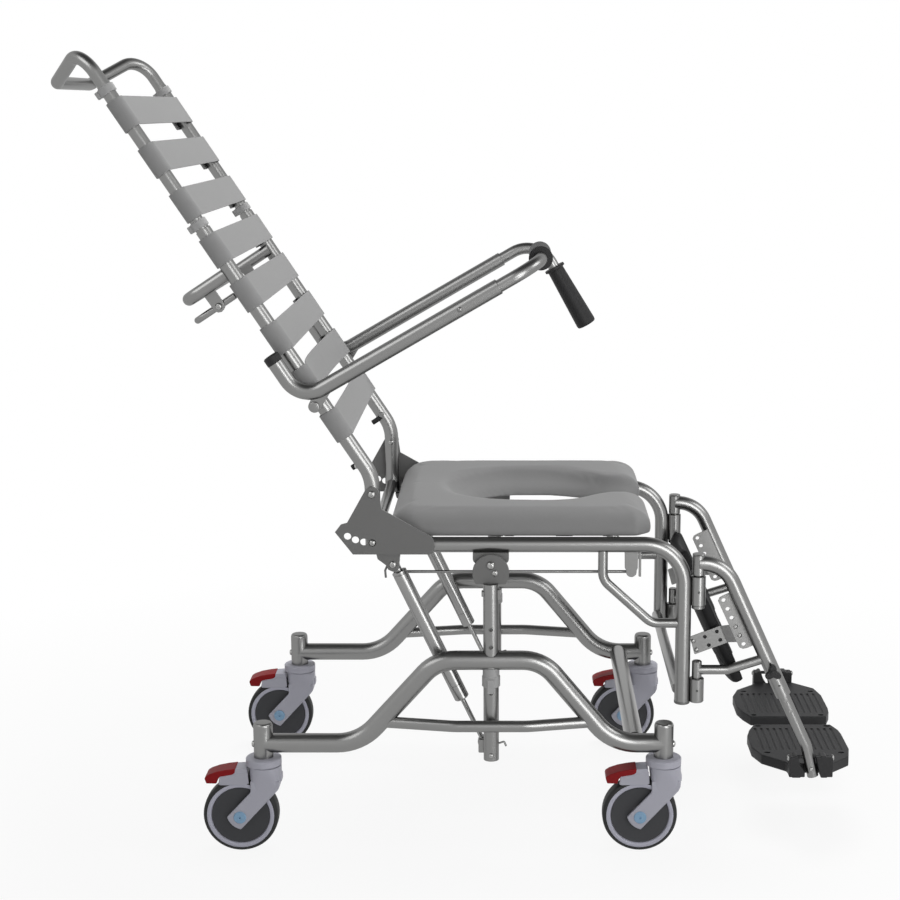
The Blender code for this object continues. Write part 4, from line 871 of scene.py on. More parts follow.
@dataclass
class Posts(Assembly):
    """Perforated height posts with pivot plate, spring foot and hook."""

    x: float = 0.051
    y: float = -0.250
    radius: float = 0.0127
    pivot_z: float = 0.488
    plate_z: float = 0.475
    plate_r: float = 0.030
    foot_x: float = 0.0374
    foot_z: float = 0.1753

    def build(self) -> None:
        """Model and dress the posts."""
        x, y = self.x, self.y
        post = Bench.ease(Bench.rod((x, y, 0.156), (x, y, 0.4575), self.radius))
        Bench.cut(post, *Bench.pins([(x, z) for z in (0.2744, 0.353, 0.3828)], y - 0.03, y + 0.03, 0.0036))
        lugs = [Bench.block((x + low, y - 0.006, bottom), (x + high, y + 0.006, top), 0.0010)
                for low, high, bottom, top in ((-0.0152, -0.010, 0.4365, 0.4450), (0.010, 0.0162, 0.4310, 0.4480))]
        self.pair(Bench.join(post, *lugs), "height_post", "posts", STEEL, "post")
        outline = arc((x, self.plate_z), self.plate_r, -22, 202, 28)
        outline += [(x + dx, z) for dx, z in ((-0.0255, 0.4575), (-0.0235, 0.456), (0.0235, 0.456), (0.0255, 0.4575))]
        self.pair(Bench.slab(outline, y, 0.006, 0.0008), "pivot_plate", "posts", PLATE)
        fx, fz = self.foot_x, self.foot_z
        foot = Bench.block((fx - 0.008, -0.2413, fz - 0.012), (x, -0.2333, fz + 0.012), 0.002)
        pin = Bench.ease(Bench.rod((fx, -0.2373, fz), (fx, -0.2075, fz), 0.003, 20))
        hook = Bench.tube([(x + 0.010, y, 0.183), (x + 0.0215, y, 0.187), (x + 0.0245, y, 0.179)], (0.002,), 0.0016, 12)
        self.pair(Bench.join(foot, pin, hook), "spring_foot", "posts", STEEL)
        self.bolts("post_bolts", "posts", ((x, -0.2518, self.pivot_z), OUT, 0.0066),
                   ((x + 0.0068, -0.2500, 0.4746), OUT, 0.0052), ((x, y - self.radius, 0.1665), OUT, 0.0042))


@dataclass
class SeatFrame(Assembly):
    """Rails with legs, sockets and saddles, braces, cross tube, pan rods and gussets."""

    half: float = 0.225
    rail_z: float = 0.5167
    tube_r: float = 0.0127
    rail_bend: float = 0.066
    leg_x: float = 0.368
    leg_z: float = 0.2484
    stub_x: float = 0.3918
    socket_r: float = 0.0122
    brace_r: float = 0.008
    brace_bend: float = 0.030
    cross_r: float = 0.0095
    wire_y: float = -0.190
    wire_z: float = 0.4617
    wire_r: float = 0.0025
    post_x: float = 0.051
    recline_x: float = -0.1416
    recline_z: float = 0.604
    index_r: float = 0.0805
    spring_x: float = -0.1088
    spring_z: float = 0.4862

    def rails(self) -> None:
        """Rail tubes with the sockets for the legrests and the pivot saddle."""
        y, r = -self.half, self.socket_r
        rail = Bench.tube([(-0.125, y, self.rail_z), (self.leg_x, y, self.rail_z), (self.leg_x, y, self.leg_z)],
                          (self.rail_bend,), self.tube_r)
        self.pair(Bench.ease(rail), "rail_tube", "seat", STEEL, "seat_rail")
        stub = (self.stub_x, y, 0)
        sockets = [Bench.spindle([(low, r - 0.001), (low + 0.0012, r), (high - 0.001, r), (high, r - 0.001),
                                  (high, 0.0078), (high - 0.02, 0.0078)], stub, UP)
                   for low, high in ((0.414, 0.4640), (self.leg_z, 0.2892))]
        lip = Bench.spindle([(0.4085, 0.0098), (0.4095, 0.0106), (0.4145, 0.0106)], stub, UP)
        self.pair(Bench.join(*sockets, lip), "legrest_sockets", "seat", STEEL)
        grubs = [Bench.lathe([(-0.001, 0.0), (-0.001, 0.0019), (0.0003, 0.0019), (0.0003, 0.0012), (-0.0004, 0.0)],
                             (self.stub_x, y - r, z), OUT, 16) for z in (0.4385, 0.270)]
        self.pair(Bench.join(*grubs), "socket_screws", "seat", GRIP)
        cap = Bench.spindle([(0.2455, 0.0118), (0.2465, 0.0130), (0.2495, 0.0133), (0.2505, 0.0128)],
                            (self.leg_x, y, 0), UP)
        self.pair(cap, "leg_end", "seat", PLATE)
        rear, front = self.post_x - 0.0295, self.post_x + 0.0295
        saddle = [(rear, 0.5062), (rear, 0.497), *arc((rear + 0.008, 0.496), 0.008, 180, 270, 5),
                  *arc((front - 0.008, 0.496), 0.008, 270, 360, 5), (front, 0.5062)]
        self.pair(Bench.slab(saddle, -0.2405, 0.0275, 0.0008), "pivot_saddle", "seat", PLATE)

    def braces(self) -> None:
        """Bent side braces, the lower cross tube and the pan rods with their tabs."""
        y = -self.half
        run = [(0.2345, y, self.rail_z), (0.2345, y, 0.4575), (0.3155, y, 0.3835), (self.leg_x, y, 0.3835)]
        brace = Bench.tube(run, (self.brace_bend, self.brace_bend), self.brace_r)
        self.pair(brace, "bent_brace", "seat", STEEL, "seat_brace")
        reach = self.half - 0.008
        cross = Bench.rod((0.361, -reach, 0.268), (0.361, reach, 0.268), self.cross_r)
        # The cross tube takes the steel without painted edge shade, so it renders lighter than the other tubes.
        self.place(cross, "lower_cross_tube", "seat", CROSS, "leg_cross")
        ends = ((-0.2121, self.rail_z), (self.wire_y, self.rail_z), (self.wire_y, self.wire_z))
        wire = [(-0.115, *end) for end in ends] + [(0.286, *end) for end in reversed(ends)]
        self.pair(Bench.tube(wire, (0.01,) * 4, self.wire_r, 16), "pan_wire", "seat", STEEL, "pan_rod")
        cup = [(0.2930, 0.5150), (0.2707, 0.5150), (0.2715, 0.4735), (0.2735, 0.4695)]
        cup += arc((0.2823, 0.4665), 0.0088, 180, 360, 10) + [(0.2912, 0.4695), (0.2930, 0.4735)]
        flange = Bench.block((0.2945, -0.2115, 0.4585), (0.2985, -0.2035, 0.5150), 0.0006)
        self.pair(Bench.ease(Bench.join(Bench.slab(cup, -0.2115, 0.0060), flange)), "pan_tab", "seat", STEEL)

    def gussets(self) -> None:
        """Side plates with the recline pivot, the index holes and the spring lug."""
        rx, rz, sx, sz = self.recline_x, self.recline_z, self.spring_x, self.spring_z
        outline = arc((rx, rz), 0.0125, -12, 152, 12)
        outline += [(self.post_x + dx, z) for dx, z in (
            (-0.2335, 0.5566), (-0.2434, 0.5539), (-0.2532, 0.5413), (-0.2245, 0.5041), (-0.1000, 0.5041),
            (-0.0945, 0.5066), (-0.0908, 0.5170), (-0.0935, 0.5300), (-0.0984, 0.5349), (-0.1774, 0.5795))]
        plate = Bench.slab(outline, -0.2420, 0.004)
        Bench.cut(plate, *Bench.pins(arc((rx, rz), self.index_r, -90, -120, 3), -0.25, -0.23, 0.0060, 24))
        self.pair(Bench.ease(plate, 0.0005), "gusset_plate", "seat", PLATE, "gusset")
        lug = [(sx + dx, sz + dz) for dx, dz in (
            (-0.0272, 0.0180), (0.0122, 0.0180), (0.0097, 0.0013), (0.0105, -0.0060), (0.0060, -0.0110),
            (-0.0010, -0.0120), (-0.0075, -0.0090), (-0.0119, -0.0010), (-0.0250, 0.0090))]
        hook = Bench.tube([(sx + dx, -0.2300, sz + dz) for dx, dz in ((-0.0100, -0.004), (-0.0135, -0.012),
                                                                      (-0.0125, -0.024))], (0.003,), 0.0018, 12)
        self.pair(Bench.join(Bench.slab(lug, -0.2386, 0.015, 0.0010), hook), "spring_lug", "seat", PLATE)
        self.bolts("gusset_bolts", "seat", ((rx, -0.2420, rz), OUT, 0.0062), ((sx, -0.2386, sz), OUT, 0.0060),
                   ((rx, -0.2115, rz), ACROSS, 0.0050))

    def build(self) -> None:
        """Model and dress the seat frame."""
        self.rails()
        self.braces()
        self.gussets()


@dataclass
class GasSprings(Assembly):
    """Gas springs: a cylinder on the gusset lug and a rod to the post foot."""

    y: float = -0.215
    top: Pair = (-0.1088, 0.4862)
    foot: Pair = (0.0374, 0.1753)
    radius: float = 0.0125
    rod_r: float = 0.004
    start: float = 0.018
    groove: float = 0.2330
    end: float = 0.261

    def build(self) -> None:
        """Model and dress both springs."""
        top, foot = (Vector((x, self.y, z)) for x, z in (self.top, self.foot))
        along = (foot - top).normalized()
        r, start, groove, end = self.radius, self.start, self.groove, self.end
        body = Bench.spindle([(start, r * 0.86), (start + 0.0012, r), (start + 0.0045, r), (start + 0.0052, r - 0.0007),
                              (start + 0.0062, r - 0.0007), (start + 0.0069, r), (groove, r),
                              (groove + 0.0004, r - 0.0005), (groove + 0.0014, r - 0.0005), (groove + 0.0018, r),
                              (end - 0.0022, r), (end, r * 0.84), (end, 0.0046), (end - 0.02, 0.0046)], top, along, 40)
        neck = Bench.rod(top + along * 0.004, top + along * 0.0195, 0.0062, 24)
        eye = Bench.spindle([(-0.008, 0.0088), (-0.0073, 0.0095), (0.0073, 0.0095), (0.008, 0.0088)], top, ACROSS)
        self.pair(Bench.join(body, neck, eye), "spring_tube", "spring_body_{}", CHROME, "spring_cylinder")
        shaft = Bench.rod(top + along * (end - 0.022), foot - along * 0.008, self.rod_r, 24)
        ring = Bench.hoop([(-0.006, 0.0066), (-0.006, 0.0088), (-0.0053, 0.0095), (0.0053, 0.0095), (0.006, 0.0088),
                           (0.006, 0.0066)], foot, ACROSS)
        self.pair(Bench.join(shaft, ring), "spring_shaft", "spring_rod_{}", CHROME, "spring_rod")


@dataclass
class SeatPad(Assembly):
    """Open-front foam pad with crowned rim and dished opening."""

    half: float = 0.226
    low_z: float = 0.5298
    high_z: float = 0.5722
    rear_x: float = -0.116
    front_x: float = 0.3145
    rear_corner: float = 0.050
    nose: float = 0.023
    hole_x: float = 0.102
    hole_half: float = 0.080
    hole_dish: float = 0.060
    neck_x: float = 0.222
    slot_half: float = 0.042
    slot_dish: float = 0.028
    levels: tuple[tuple[float, float, float], ...] = (
        (0.00, 0.0020, 0.02), (0.06, 0.0004, 0.03), (0.20, 0.0000, 0.14), (0.35, 0.0003, 0.33), (0.50, 0.0016, 0.55),
        (0.62, 0.0040, 0.68), (0.74, 0.0080, 0.765), (0.84, 0.0130, 0.83), (0.92, 0.0190, 0.885), (0.975, 0.0255, 0.94),
        (1.00, 0.0330, 1.00))

    def half_outline(self) -> list[tuple[float, float, float]]:
        """Outline of the pad's right half, from the rear middle round the nose to the hole's rear.

        Returns:
            X, distance from the middle and width of the dish, which is 0 on the outer edge.
        """
        corner = (self.rear_x + self.rear_corner, self.half - self.rear_corner)
        line = [(self.rear_x, 0.0, 0.0), (self.rear_x, corner[1] * 0.5, 0.0)]
        line += [(x, -w, 0.0) for x, w in arc((corner[0], -corner[1]), self.rear_corner, 180, 270, 9)]
        line += [(0.10, self.half, 0.0), (0.20, self.half, 0.0), (self.front_x - self.nose, self.half, 0.0),
                 (self.front_x, self.half - self.nose, 0.0), (self.front_x, self.slot_half + self.nose, 0.0),
                 (self.front_x - self.nose, self.slot_half, self.slot_dish)]
        start, stop = self.neck_x + 0.040, self.hole_x + 0.035
        for i in range(11):
            share = i / 10
            ease = share * share * (3 - 2 * share)
            line.append((start + (stop - start) * share, self.slot_half + (self.hole_half - self.slot_half) * ease,
                         self.slot_dish + (self.hole_dish - self.slot_dish) * ease))
        line += [(x, w, self.hole_dish) for x, w in arc((self.hole_x, 0), self.hole_half, 98, 180, 10)]
        return line

    def contour(self, z: float, rim: float, dish: float) -> list[tuple[float, float, float]]:
        """One level line of the pad.

        Args:
            z: Its height.
            rim: How far it lies inside the outer edge.
            dish: How far it lies up the dish, as a share of the dish's width.

        Returns:
            The points of the closed line.
        """
        half = self.half_outline()
        loop = [(x, -w, wide) for x, w, wide in half] + [(x, w, wide) for x, w, wide in reversed(half[1:-1])]
        places = [Vector((x, y)) for x, y, _ in loop]
        line = []
        for i, here in enumerate(places):
            before = (here - places[i - 1]).normalized()
            after = (places[(i + 1) % len(places)] - here).normalized()
            run = (before + after).normalized()
            inset = (dish * loop[i][2] if loop[i][2] else rim) / run.dot(before)
            line.append((here.x - run.y * inset, here.y + run.x * inset, z))
        return line

    def shell(self) -> Piece:
        """The pad's closed form before it is swelled, level by level.

        Returns:
            The slab with rolled edge and dished opening.
        """
        rise = self.high_z - self.low_z
        return Bench.loft([self.contour(self.low_z + rise * share, rim, dish) for share, rim, dish in self.levels])

    def build(self) -> None:
        """Model, swell and dress the pad and its feet."""
        pad = Upholstery(0.004, 0.0016).swell(self.shell(), self.low_z + 0.006)
        self.place(pad, "seat_cushion", "seat", PAD, "seat_pad")
        feet = [Bench.block((x - reach, -0.2190, 0.5290), (x + reach, -0.2060, 0.5336), 0.0008)
                for x, reach in ((0.061, 0.010), (0.081, 0.008), (0.171, 0.014), (0.240, 0.006))]
        self.pair(Bench.join(*feet), "pad_feet", "seat", GRIP)


@dataclass(frozen=True)
class Upholstery:
    """Swells a foam piece with a short cloth simulation."""

    voxel: float
    most: float
    pressure: float = 4.0
    frames: int = 20

    def swell(self, piece: Piece, rest_z: float) -> Piece:
        """Remesh a closed form, press it out from inside and smooth it.

        Args:
            piece: The closed form.
            rest_z: Height up to which points stay where they are.

        Returns:
            The same piece, swelled.
        """
        Bench.modify(piece, "REMESH", mode="VOXEL", voxel_size=self.voxel, use_smooth_shade=True)
        Bench.modify(piece, "SMOOTH", factor=0.5, iterations=3)
        held = piece.vertex_groups.new(name="held")
        held.add([v.index for v in piece.data.vertices if v.co.z < rest_z], 1.0, "REPLACE")
        start = [v.co.copy() for v in piece.data.vertices]
        Bench.take(piece)
        bpy.ops.object.modifier_add(type="CLOTH")
        cloth = piece.modifiers[-1]
        cloth.settings.vertex_group_mass = "held"
        cloth.settings.use_pressure = True
        cloth.settings.uniform_pressure_force = self.pressure
        cloth.settings.effector_weights.gravity = 0.0
        cloth.settings.quality = 5
        scene = bpy.context.scene
        for step in range(1, self.frames + 1):
            scene.frame_set(step)
        swelled = piece.evaluated_get(bpy.context.evaluated_depsgraph_get())
        ends = [v.co.copy() for v in swelled.data.vertices]
        piece.modifiers.remove(cloth)
        scene.frame_set(1)
        for vertex, first, last in zip(piece.data.vertices, start, ends):
            move = last - first
            if 0.0 < move.length < 0.1:
                vertex.co = first + move * min(1.0, self.most / move.length)
        piece.vertex_groups.clear()
        Bench.modify(piece, "SMOOTH", factor=0.5, iterations=4)
        return Bench.modify(piece, "SUBSURF", levels=1, render_levels=1)


@dataclass
class Backrest(Assembly):
    """Bent back tubes with collars, cross tube, bands, push handle, mid bar and lever."""

    half: float = 0.225
    lean: float = radians(33.3)
    foot: Pair = (-0.1416, 0.508)
    bend_z: float = 0.6309
    bend: float = 0.070
    tube_r: float = 0.0127
    length: float = 0.745
    step: float = 0.4765
    upper_r: float = 0.0112
    cross_z: float = 0.5235
    cross_r: float = 0.0095
    collars: Pair = (0.735, 0.486)
    band_first: float = 0.0764
    band_pitch: float = 0.084
    band_width: float = 0.052
    band_count: int = 8
    slack_band: int = 2
    slack: float = 0.020
    handle_r: float = 0.0105
    bar_at: float = 0.3985
    bar_half: float = 0.213
    bar_back: float = 0.0885
    lever_at: float = 0.363
    lever_back: float = 0.0528
    lever_half: float = 0.196
    lever_y: float = -0.2057

    @property
    def up(self) -> Vector:
        """Direction up the back."""
        return Vector((-sin(self.lean), 0, cos(self.lean)))

    @property
    def ahead(self) -> Vector:
        """Direction out of the back's front."""
        return Vector((cos(self.lean), 0, sin(self.lean)))

    def at(self, along: float, front: float = 0.0, y: float = 0.0) -> Vector:
        """A point up the back tube, in front of it and across it."""
        return Vector((self.foot[0], y, self.bend_z)) + self.up * along + self.ahead * front

    def tubes(self) -> None:
        """Back tubes, lower cross tube, clip collars, bolts and stops."""
        y, r, x = -self.half, self.upper_r, self.foot[0]
        path = [(x, y, self.foot[1]), (x, y, self.bend_z), self.at(self.step, 0, y)]
        lower = Bench.tube(path, (self.bend,), self.tube_r)
        upper = Bench.rod(self.at(self.step - 0.03, 0, y), self.at(self.length, 0, y), r)
        bore = Bench.rod(self.at(self.length - 0.089, 0, y), self.at(self.length + 0.01, 0, y), r - 0.0005)
        Bench.ease(Bench.cut(upper, bore), 0.0003)
        self.pair(Bench.join(Bench.ease(lower), upper), "bent_back_tube", "back", STEEL, "back_tube")
        reach = self.half - 0.008
        cross = Bench.rod((x, -reach, self.cross_z), (x, reach, self.cross_z), self.cross_r)
        # The cross tube takes the steel without painted edge shade, so it renders lighter than the other tubes.
        self.place(cross, "back_cross_tube", "back", CROSS, "back_cross")
        clips = []
        for along in self.collars:
            ring = [(-0.0065, r - 0.0006), (-0.0065, r + 0.0020), (-0.0055, r + 0.0028), (0.0055, r + 0.0028),
                    (0.0065, r + 0.0020), (0.0065, r - 0.0006)]
            ear = Bench.block((-0.0045, -0.0035, -0.006), (0.0045, 0.0035, 0.006), 0.0012)
            clips += [Bench.hoop(ring, self.at(along, 0, y), self.up),
                      Bench.copy(ear, toward(self.at(along, -0.0160, y), self.up))]
            Bench.drop(ear)
        self.pair(Bench.join(*clips), "clip_collars", "back", CLIP)
        self.bolts("back_bolts", "back", ((x, -0.2421, self.cross_z), OUT, 0.0052),
                   (self.at(0.0275, -0.0127, y), -self.ahead, 0.0040))
        stop = Bench.rod(self.at(0.0275, -0.006, -0.2095), self.at(0.0275, -0.0225, -0.2095), 0.0046, 24)
        head = Bench.rod(self.at(0.0310, 0, -0.2135), self.at(0.0310, 0, -0.2070), 0.0050, 24)
        self.pair(Bench.ease(stop), "back_stop", "back", GRIP)
        self.pair(Bench.ease(head), "back_stop_head", "back", STEEL)

    def band_outline(self, slack: float, r: float) -> list[Pair]:
        """Half of a band's cross-section line, from the rear return over the right tube to the middle.

        Args:
            slack: How far the middle hangs back.
            r: Radius of the wrap.

        Returns:
            Pairs of Y and distance in front of the back.
        """
        line = [(-self.half + 0.026, -r), (-self.half + 0.013, -r)]
        line += [(-self.half + r * cos(radians(a)), r * sin(radians(a))) for a in range(270, 67, -9)]
        fold_y, fold_n = line[-1]
        for i in range(1, 17):
            share = i / 16
            line.append((fold_y * (1 - share), fold_n - slack * (1 - (1 - share) ** 2)))
        return line

    def bands(self) -> None:
        """Sling bands that wrap both tubes, the second one slack."""
        for i in range(self.band_count):
            slack = self.slack if i + 1 == self.slack_band else 0.0
            loops = []
            low = self.band_first + i * self.band_pitch
            wrapped = self.upper_r if low > self.step else self.tube_r
            for r in (wrapped + 0.0012, wrapped + 0.0034):
                line = self.band_outline(slack, r)
                loops.append(line + [(-y, n) for y, n in reversed(line[:-1])])
            outline = [self.at(low, n, y) for y, n in loops[0] + loops[1][::-1]]
            band = Bench.ease(Bench.plate(outline, self.up * self.band_width), 0.0007, 2, 50)
            self.place(band, f"sling_band_{i + 1}", "back", BAND, f"back_band_{i + 1}")
            Bench.smooth(band, 16.0)

    def handle(self) -> None:
        """Push handle that slides in the back tubes."""
        top = self.at(self.length + 0.065)
        corner = top + Vector((-0.065, 0, -0.050))
        leg = [self.at(self.length - 0.085, 0, -self.half), Vector((top.x, -self.half, top.z)),
               Vector((corner.x, -0.112, corner.z))]
        loop = Bench.tube(leg + [MIRROR @ p for p in reversed(leg)], (0.042, 0.022, 0.022, 0.042), self.handle_r)
        self.place(loop, "push_handle_tube", "push_handle", STEEL, "push_handle")

    def mid_bar(self) -> None:
        """U-shaped bar behind the back, its lever plates and the squeeze lever."""
        run = [self.at(self.bar_at, 0, -self.bar_half), self.at(self.bar_at, -self.bar_back, -self.bar_half)]
        bar = Bench.tube(run + [MIRROR @ p for p in reversed(run)], (0.022, 0.022), self.handle_r)
        self.place(bar, "mid_bar_tube", "back", STEEL, "mid_push_bar")
        edge = [(0.0355, 0.0100), (0.004, 0.0100), (-0.004, 0.0085), (-0.0085, 0.0045), (-0.0100, -0.0010),
                (-0.0080, -0.0065), (-0.0030, -0.0100), (0.0355, -0.0110)]
        outline = [self.at(self.lever_at + u, f - self.lever_back, self.lever_y) for u, f in edge]
        self.pair(Bench.ease(Bench.plate(outline, (0, 0.003, 0))), "lever_plate", "back", STEEL)
        pivot = self.at(self.lever_at, -self.lever_back)
        side = Vector((0, -self.lever_half, 0))
        run = [pivot + self.ahead * 0.030 + side, pivot - self.ahead * 0.046 + side]
        lever = Bench.tube(run + [MIRROR @ p for p in reversed(run)], (0.014, 0.014), 0.0055, 24)
        bosses = [Bench.ease(Bench.rod((pivot.x, s * 0.1905, pivot.z), (pivot.x, s * 0.2021, pivot.z), 0.0085, 24),
                             0.0008) for s in (-1, 1)]
        self.place(Bench.join(Bench.ease(lever, 0.001), *bosses), "squeeze_lever", "tilt_lever", STEEL, "tilt_lever")
        self.bolts("lever_bolts", "back", ((pivot.x, self.lever_y, pivot.z), OUT, 0.0058))

    def build(self) -> None:
        """Model and dress the backrest."""
        self.tubes()
        self.bands()
        self.handle()
        self.mid_bar()


@dataclass
class Arms(Assembly):
    """Lifting arm tubes with tail cap and pivot, and turning inner tubes with grips."""

    back: Backrest
    half: float = 0.257
    rise: float = radians(30.0)
    corner: Pair = (-0.2501, 0.7607)
    pivot: Pair = (-0.229, 0.751)
    tube_r: float = 0.0127
    bend: float = 0.041
    tail: float = 0.083
    reach: float = 0.364
    button_at: float = 0.293
    grip_at: float = 0.441
    grip_bend: float = 0.052
    grip_r: float = 0.0105

    @property
    def ahead(self) -> Vector:
        """Direction along the arm."""
        return Vector((cos(self.rise), 0, sin(self.rise)))

    def at(self, along: float) -> Vector:
        """A point on the right arm's centre line, from its corner on."""
        return Vector((self.corner[0], -self.half, self.corner[1])) + self.ahead * along

    def build(self) -> None:
        """Model and dress both arms."""
        r, y, up = self.tube_r, -self.half, self.back.up
        tail = self.at(0) + up * self.tail
        tube = Bench.tube([tail, self.at(0), self.at(self.reach)], (self.bend,), r)
        bore = Bench.rod(self.at(self.reach - 0.064), self.at(self.reach + 0.01), 0.0111)
        self.pair(Bench.ease(Bench.cut(tube, bore), 0.0004), "arm_tube", "arm_{}", STEEL, "arm")
        cap = Bench.hoop([(-0.011, r + 0.0001), (-0.011, r + 0.0006), (-0.0106, r + 0.0008), (0.001, r + 0.0008),
                          (0.003, r - 0.0012), (0.0036, r * 0.6), (0.0036, 0.0), (-0.002, 0.0), (-0.002, r + 0.0001)],
                         tail, up)
        self.pair(cap, "arm_tail_cap", "arm_{}", GRIP)
        x, z = self.pivot
        outline = [(x + 0.030, z + 0.030), (x - 0.002, z + 0.018), *arc((x, z), 0.010, 150, 330, 10)]
        boss = Bench.spindle([(-0.019, 0.008), (0.004, 0.008), (0.0048, 0.0074), (0.0060, 0.0078), (0.0068, 0.0066)],
                             (x, y, z), OUT, 28)
        self.pair(Bench.join(Bench.slab(outline, y - 0.002, 0.004, 0.0006), boss), "arm_pivot", "arm_{}", STEEL)
        self.bolts("arm_button", "arm_{}", (self.at(self.button_at) + OUT * r, OUT, 0.0040), finish=STEEL)
        self.grips()

    def grips(self) -> None:
        """Bent inner tubes with a grip each: the right one turned in, the left one down."""
        sleeve = [(0.0, 0.0107), (0.0, 0.0188), (0.0008, 0.0195), (0.0042, 0.0195), (0.0050, 0.0188), (0.0056, 0.0158),
                  (0.0070, 0.0152), (0.0400, 0.0162), (0.0800, 0.0174), (0.1180, 0.0185), (0.1216, 0.0180),
                  (0.1234, 0.0166), (0.1240, 0.0145), (0.1240, 0.0)]
        down = Vector((sin(self.rise), 0, -cos(self.rise)))
        for side, turn in ((Side.RIGHT, ACROSS), (Side.LEFT, down)):
            flip = ACROSS * (self.half + side.value * self.half)
            bend = self.at(self.grip_at) + flip
            body = f"hand_grip_{side.label}"
            path = [self.at(self.reach - 0.060) + flip, bend, bend + turn * 0.080]
            tube = Bench.tube(path, (self.grip_bend,), self.grip_r)
            self.place(tube, f"grip_tube_{side.label}", body, STEEL, body)
            grip = Bench.lathe(sleeve, bend + turn * 0.062, turn, 40)
            self.place(grip, f"grip_sleeve_{side.label}", body, GRIP)


@dataclass
class Legrests(Assembly):
    """Swing-away hangers with strip, calf pad, leg tube and footplate."""

    half: float = 0.225
    stub_x: float = 0.3918
    hanger_z: float = 0.4855
    corner_x: float = 0.4334
    slope: float = 0.457
    bend: float = 0.056
    end_z: float = 0.259
    tube_r: float = 0.0127
    stay_z: float = 0.303
    stay_r: float = 0.008
    strip_in: float = 0.2125
    strip_top: Pair = (0.435, 0.4195)
    strip_low: Pair = (0.470, 0.3440)
    knob: Pair = (0.5155, 0.3040)
    pad_at: Pair = (0.418, 0.353)
    pad_wide: float = 0.149
    pad_long: float = 0.171
    leg_r: float = 0.0095
    knee_z: float = 0.170
    plate_z: float = 0.1165
    plate_h: float = 0.0175
    hinge_z: float = 0.1490

    @property
    def run(self) -> Vector:
        """Direction down the sloping tube."""
        return Vector((self.slope, 0, -1)).normalized()

    def down(self, z: float) -> Vector:
        """The point of the sloping tube's centre line at a height."""
        return Vector((self.corner_x + (self.hanger_z - z) * self.slope, -self.half, z))

    def hangers(self) -> None:
        """Hanger tubes with stubs and stay."""
        y, x, end, run = -self.half, self.stub_x, self.down(self.end_z), self.run
        tube = Bench.tube([(x, y, self.hanger_z), (self.corner_x, y, self.hanger_z), end], (self.bend,), self.tube_r)
        bore = Bench.rod(end - run * 0.150, end + run * 0.01, 0.0101)
        self.pair(Bench.ease(Bench.cut(tube, bore), 0.0004), "hanger_tube", "legrest_{}", STEEL, "legrest_hanger")
        upper = Bench.spindle([(0.424, 0.007), (0.4656, 0.007), (0.4656, 0.0098), (0.4664, 0.0106), (0.4985, 0.0106),
                               (0.4990, 0.0100), (0.4998, 0.0100), (0.5003, 0.0106), (0.5015, 0.0096)], (x, y, 0), UP)
        lower = Bench.spindle([(0.2584, 0.007), (0.2906, 0.007), (0.2912, 0.0082), (0.3172, 0.0082), (0.3186, 0.0070)],
                              (x, y, 0), UP)
        stay = Bench.tube([(x, y, self.stay_z), (0.442, y, self.stay_z), self.down(0.3238)], (0.030,), self.stay_r)
        self.pair(Bench.join(upper, lower, stay), "hanger_stubs", "legrest_{}", STEEL)
        dot = Bench.lathe([(-0.001, 0.0), (-0.001, 0.0018), (0.0002, 0.0018), (0.0002, 0.0010), (-0.0005, 0.0)],
                          (0.5280, y - self.tube_r, 0.2790), OUT, 16)
        self.pair(dot, "hanger_screw", "legrest_{}", GRIP)

    def strips(self) -> None:
        """Perforated strips, bent brackets and holed plates that carry the calf pads."""
        y = -self.strip_in
        top, low = Vector(self.strip_top), Vector(self.strip_low)
        run = (low - top).normalized()
        front = Vector((-run.y, run.x))
        edge = ((top, -0.002, -0.009), (top, -0.0065, -0.0045), (top, -0.0075, 0.002), (top, -0.0075, 0.024),
                (low, 0.0085, 0.024), (low, 0.0085, 0.002), (low, 0.0070, -0.0045), (low, 0.002, -0.009))
        plate = Bench.slab([end + run * u + front * f for end, u, f in edge], y - 0.003, 0.003)
        holes = [top + (low - top) * i / 5 for i in range(6)]
        Bench.cut(plate, *Bench.pins(holes, -0.23, -0.20, 0.0035))
        bent = Bench.slab([(0.4260, 0.3745), (0.4520, 0.3775), (0.4640, 0.3560), (0.4610, 0.3475), (0.4400, 0.3470)],
                          y - 0.0028, 0.0026, 0.0004)
        arm = Bench.slab([(0.3804, 0.3559), (0.3822, 0.3580), (0.4290, 0.3761), (0.4421, 0.3477), (0.3900, 0.3276),
                          (0.3880, 0.3282)], y - 0.0058, 0.003)
        spots = ((0.4247, 0.3668), (0.4049, 0.3577), (0.4306, 0.3523), (0.4119, 0.3433))
        Bench.cut(arm, *Bench.pins(spots, -0.24, -0.205, 0.0032))
        self.pair(Bench.ease(Bench.join(plate, arm), 0.0004), "calf_strip", "legrest_{}", STEEL)
        self.pair(bent, "calf_bracket", "legrest_{}", PLATE)
        liner = [(0.3960, 0.3620), (0.4285, 0.3742), (0.4400, 0.3490), (0.4020, 0.3342)]
        self.pair(Bench.slab(liner, y - 0.0026, 0.0024, 0.0004), "calf_liner", "legrest_{}", GRIP)
        bolts = [((x, y - 0.0058, z), OUT, 0.0038) for x, z in ((0.3857, 0.3504), (0.3918, 0.3354))]
        bolts += [((x, y - 0.003, z), OUT, 0.0036) for x, z in holes[3:5]]
        self.bolts("strip_bolts", "legrest_{}", *bolts)

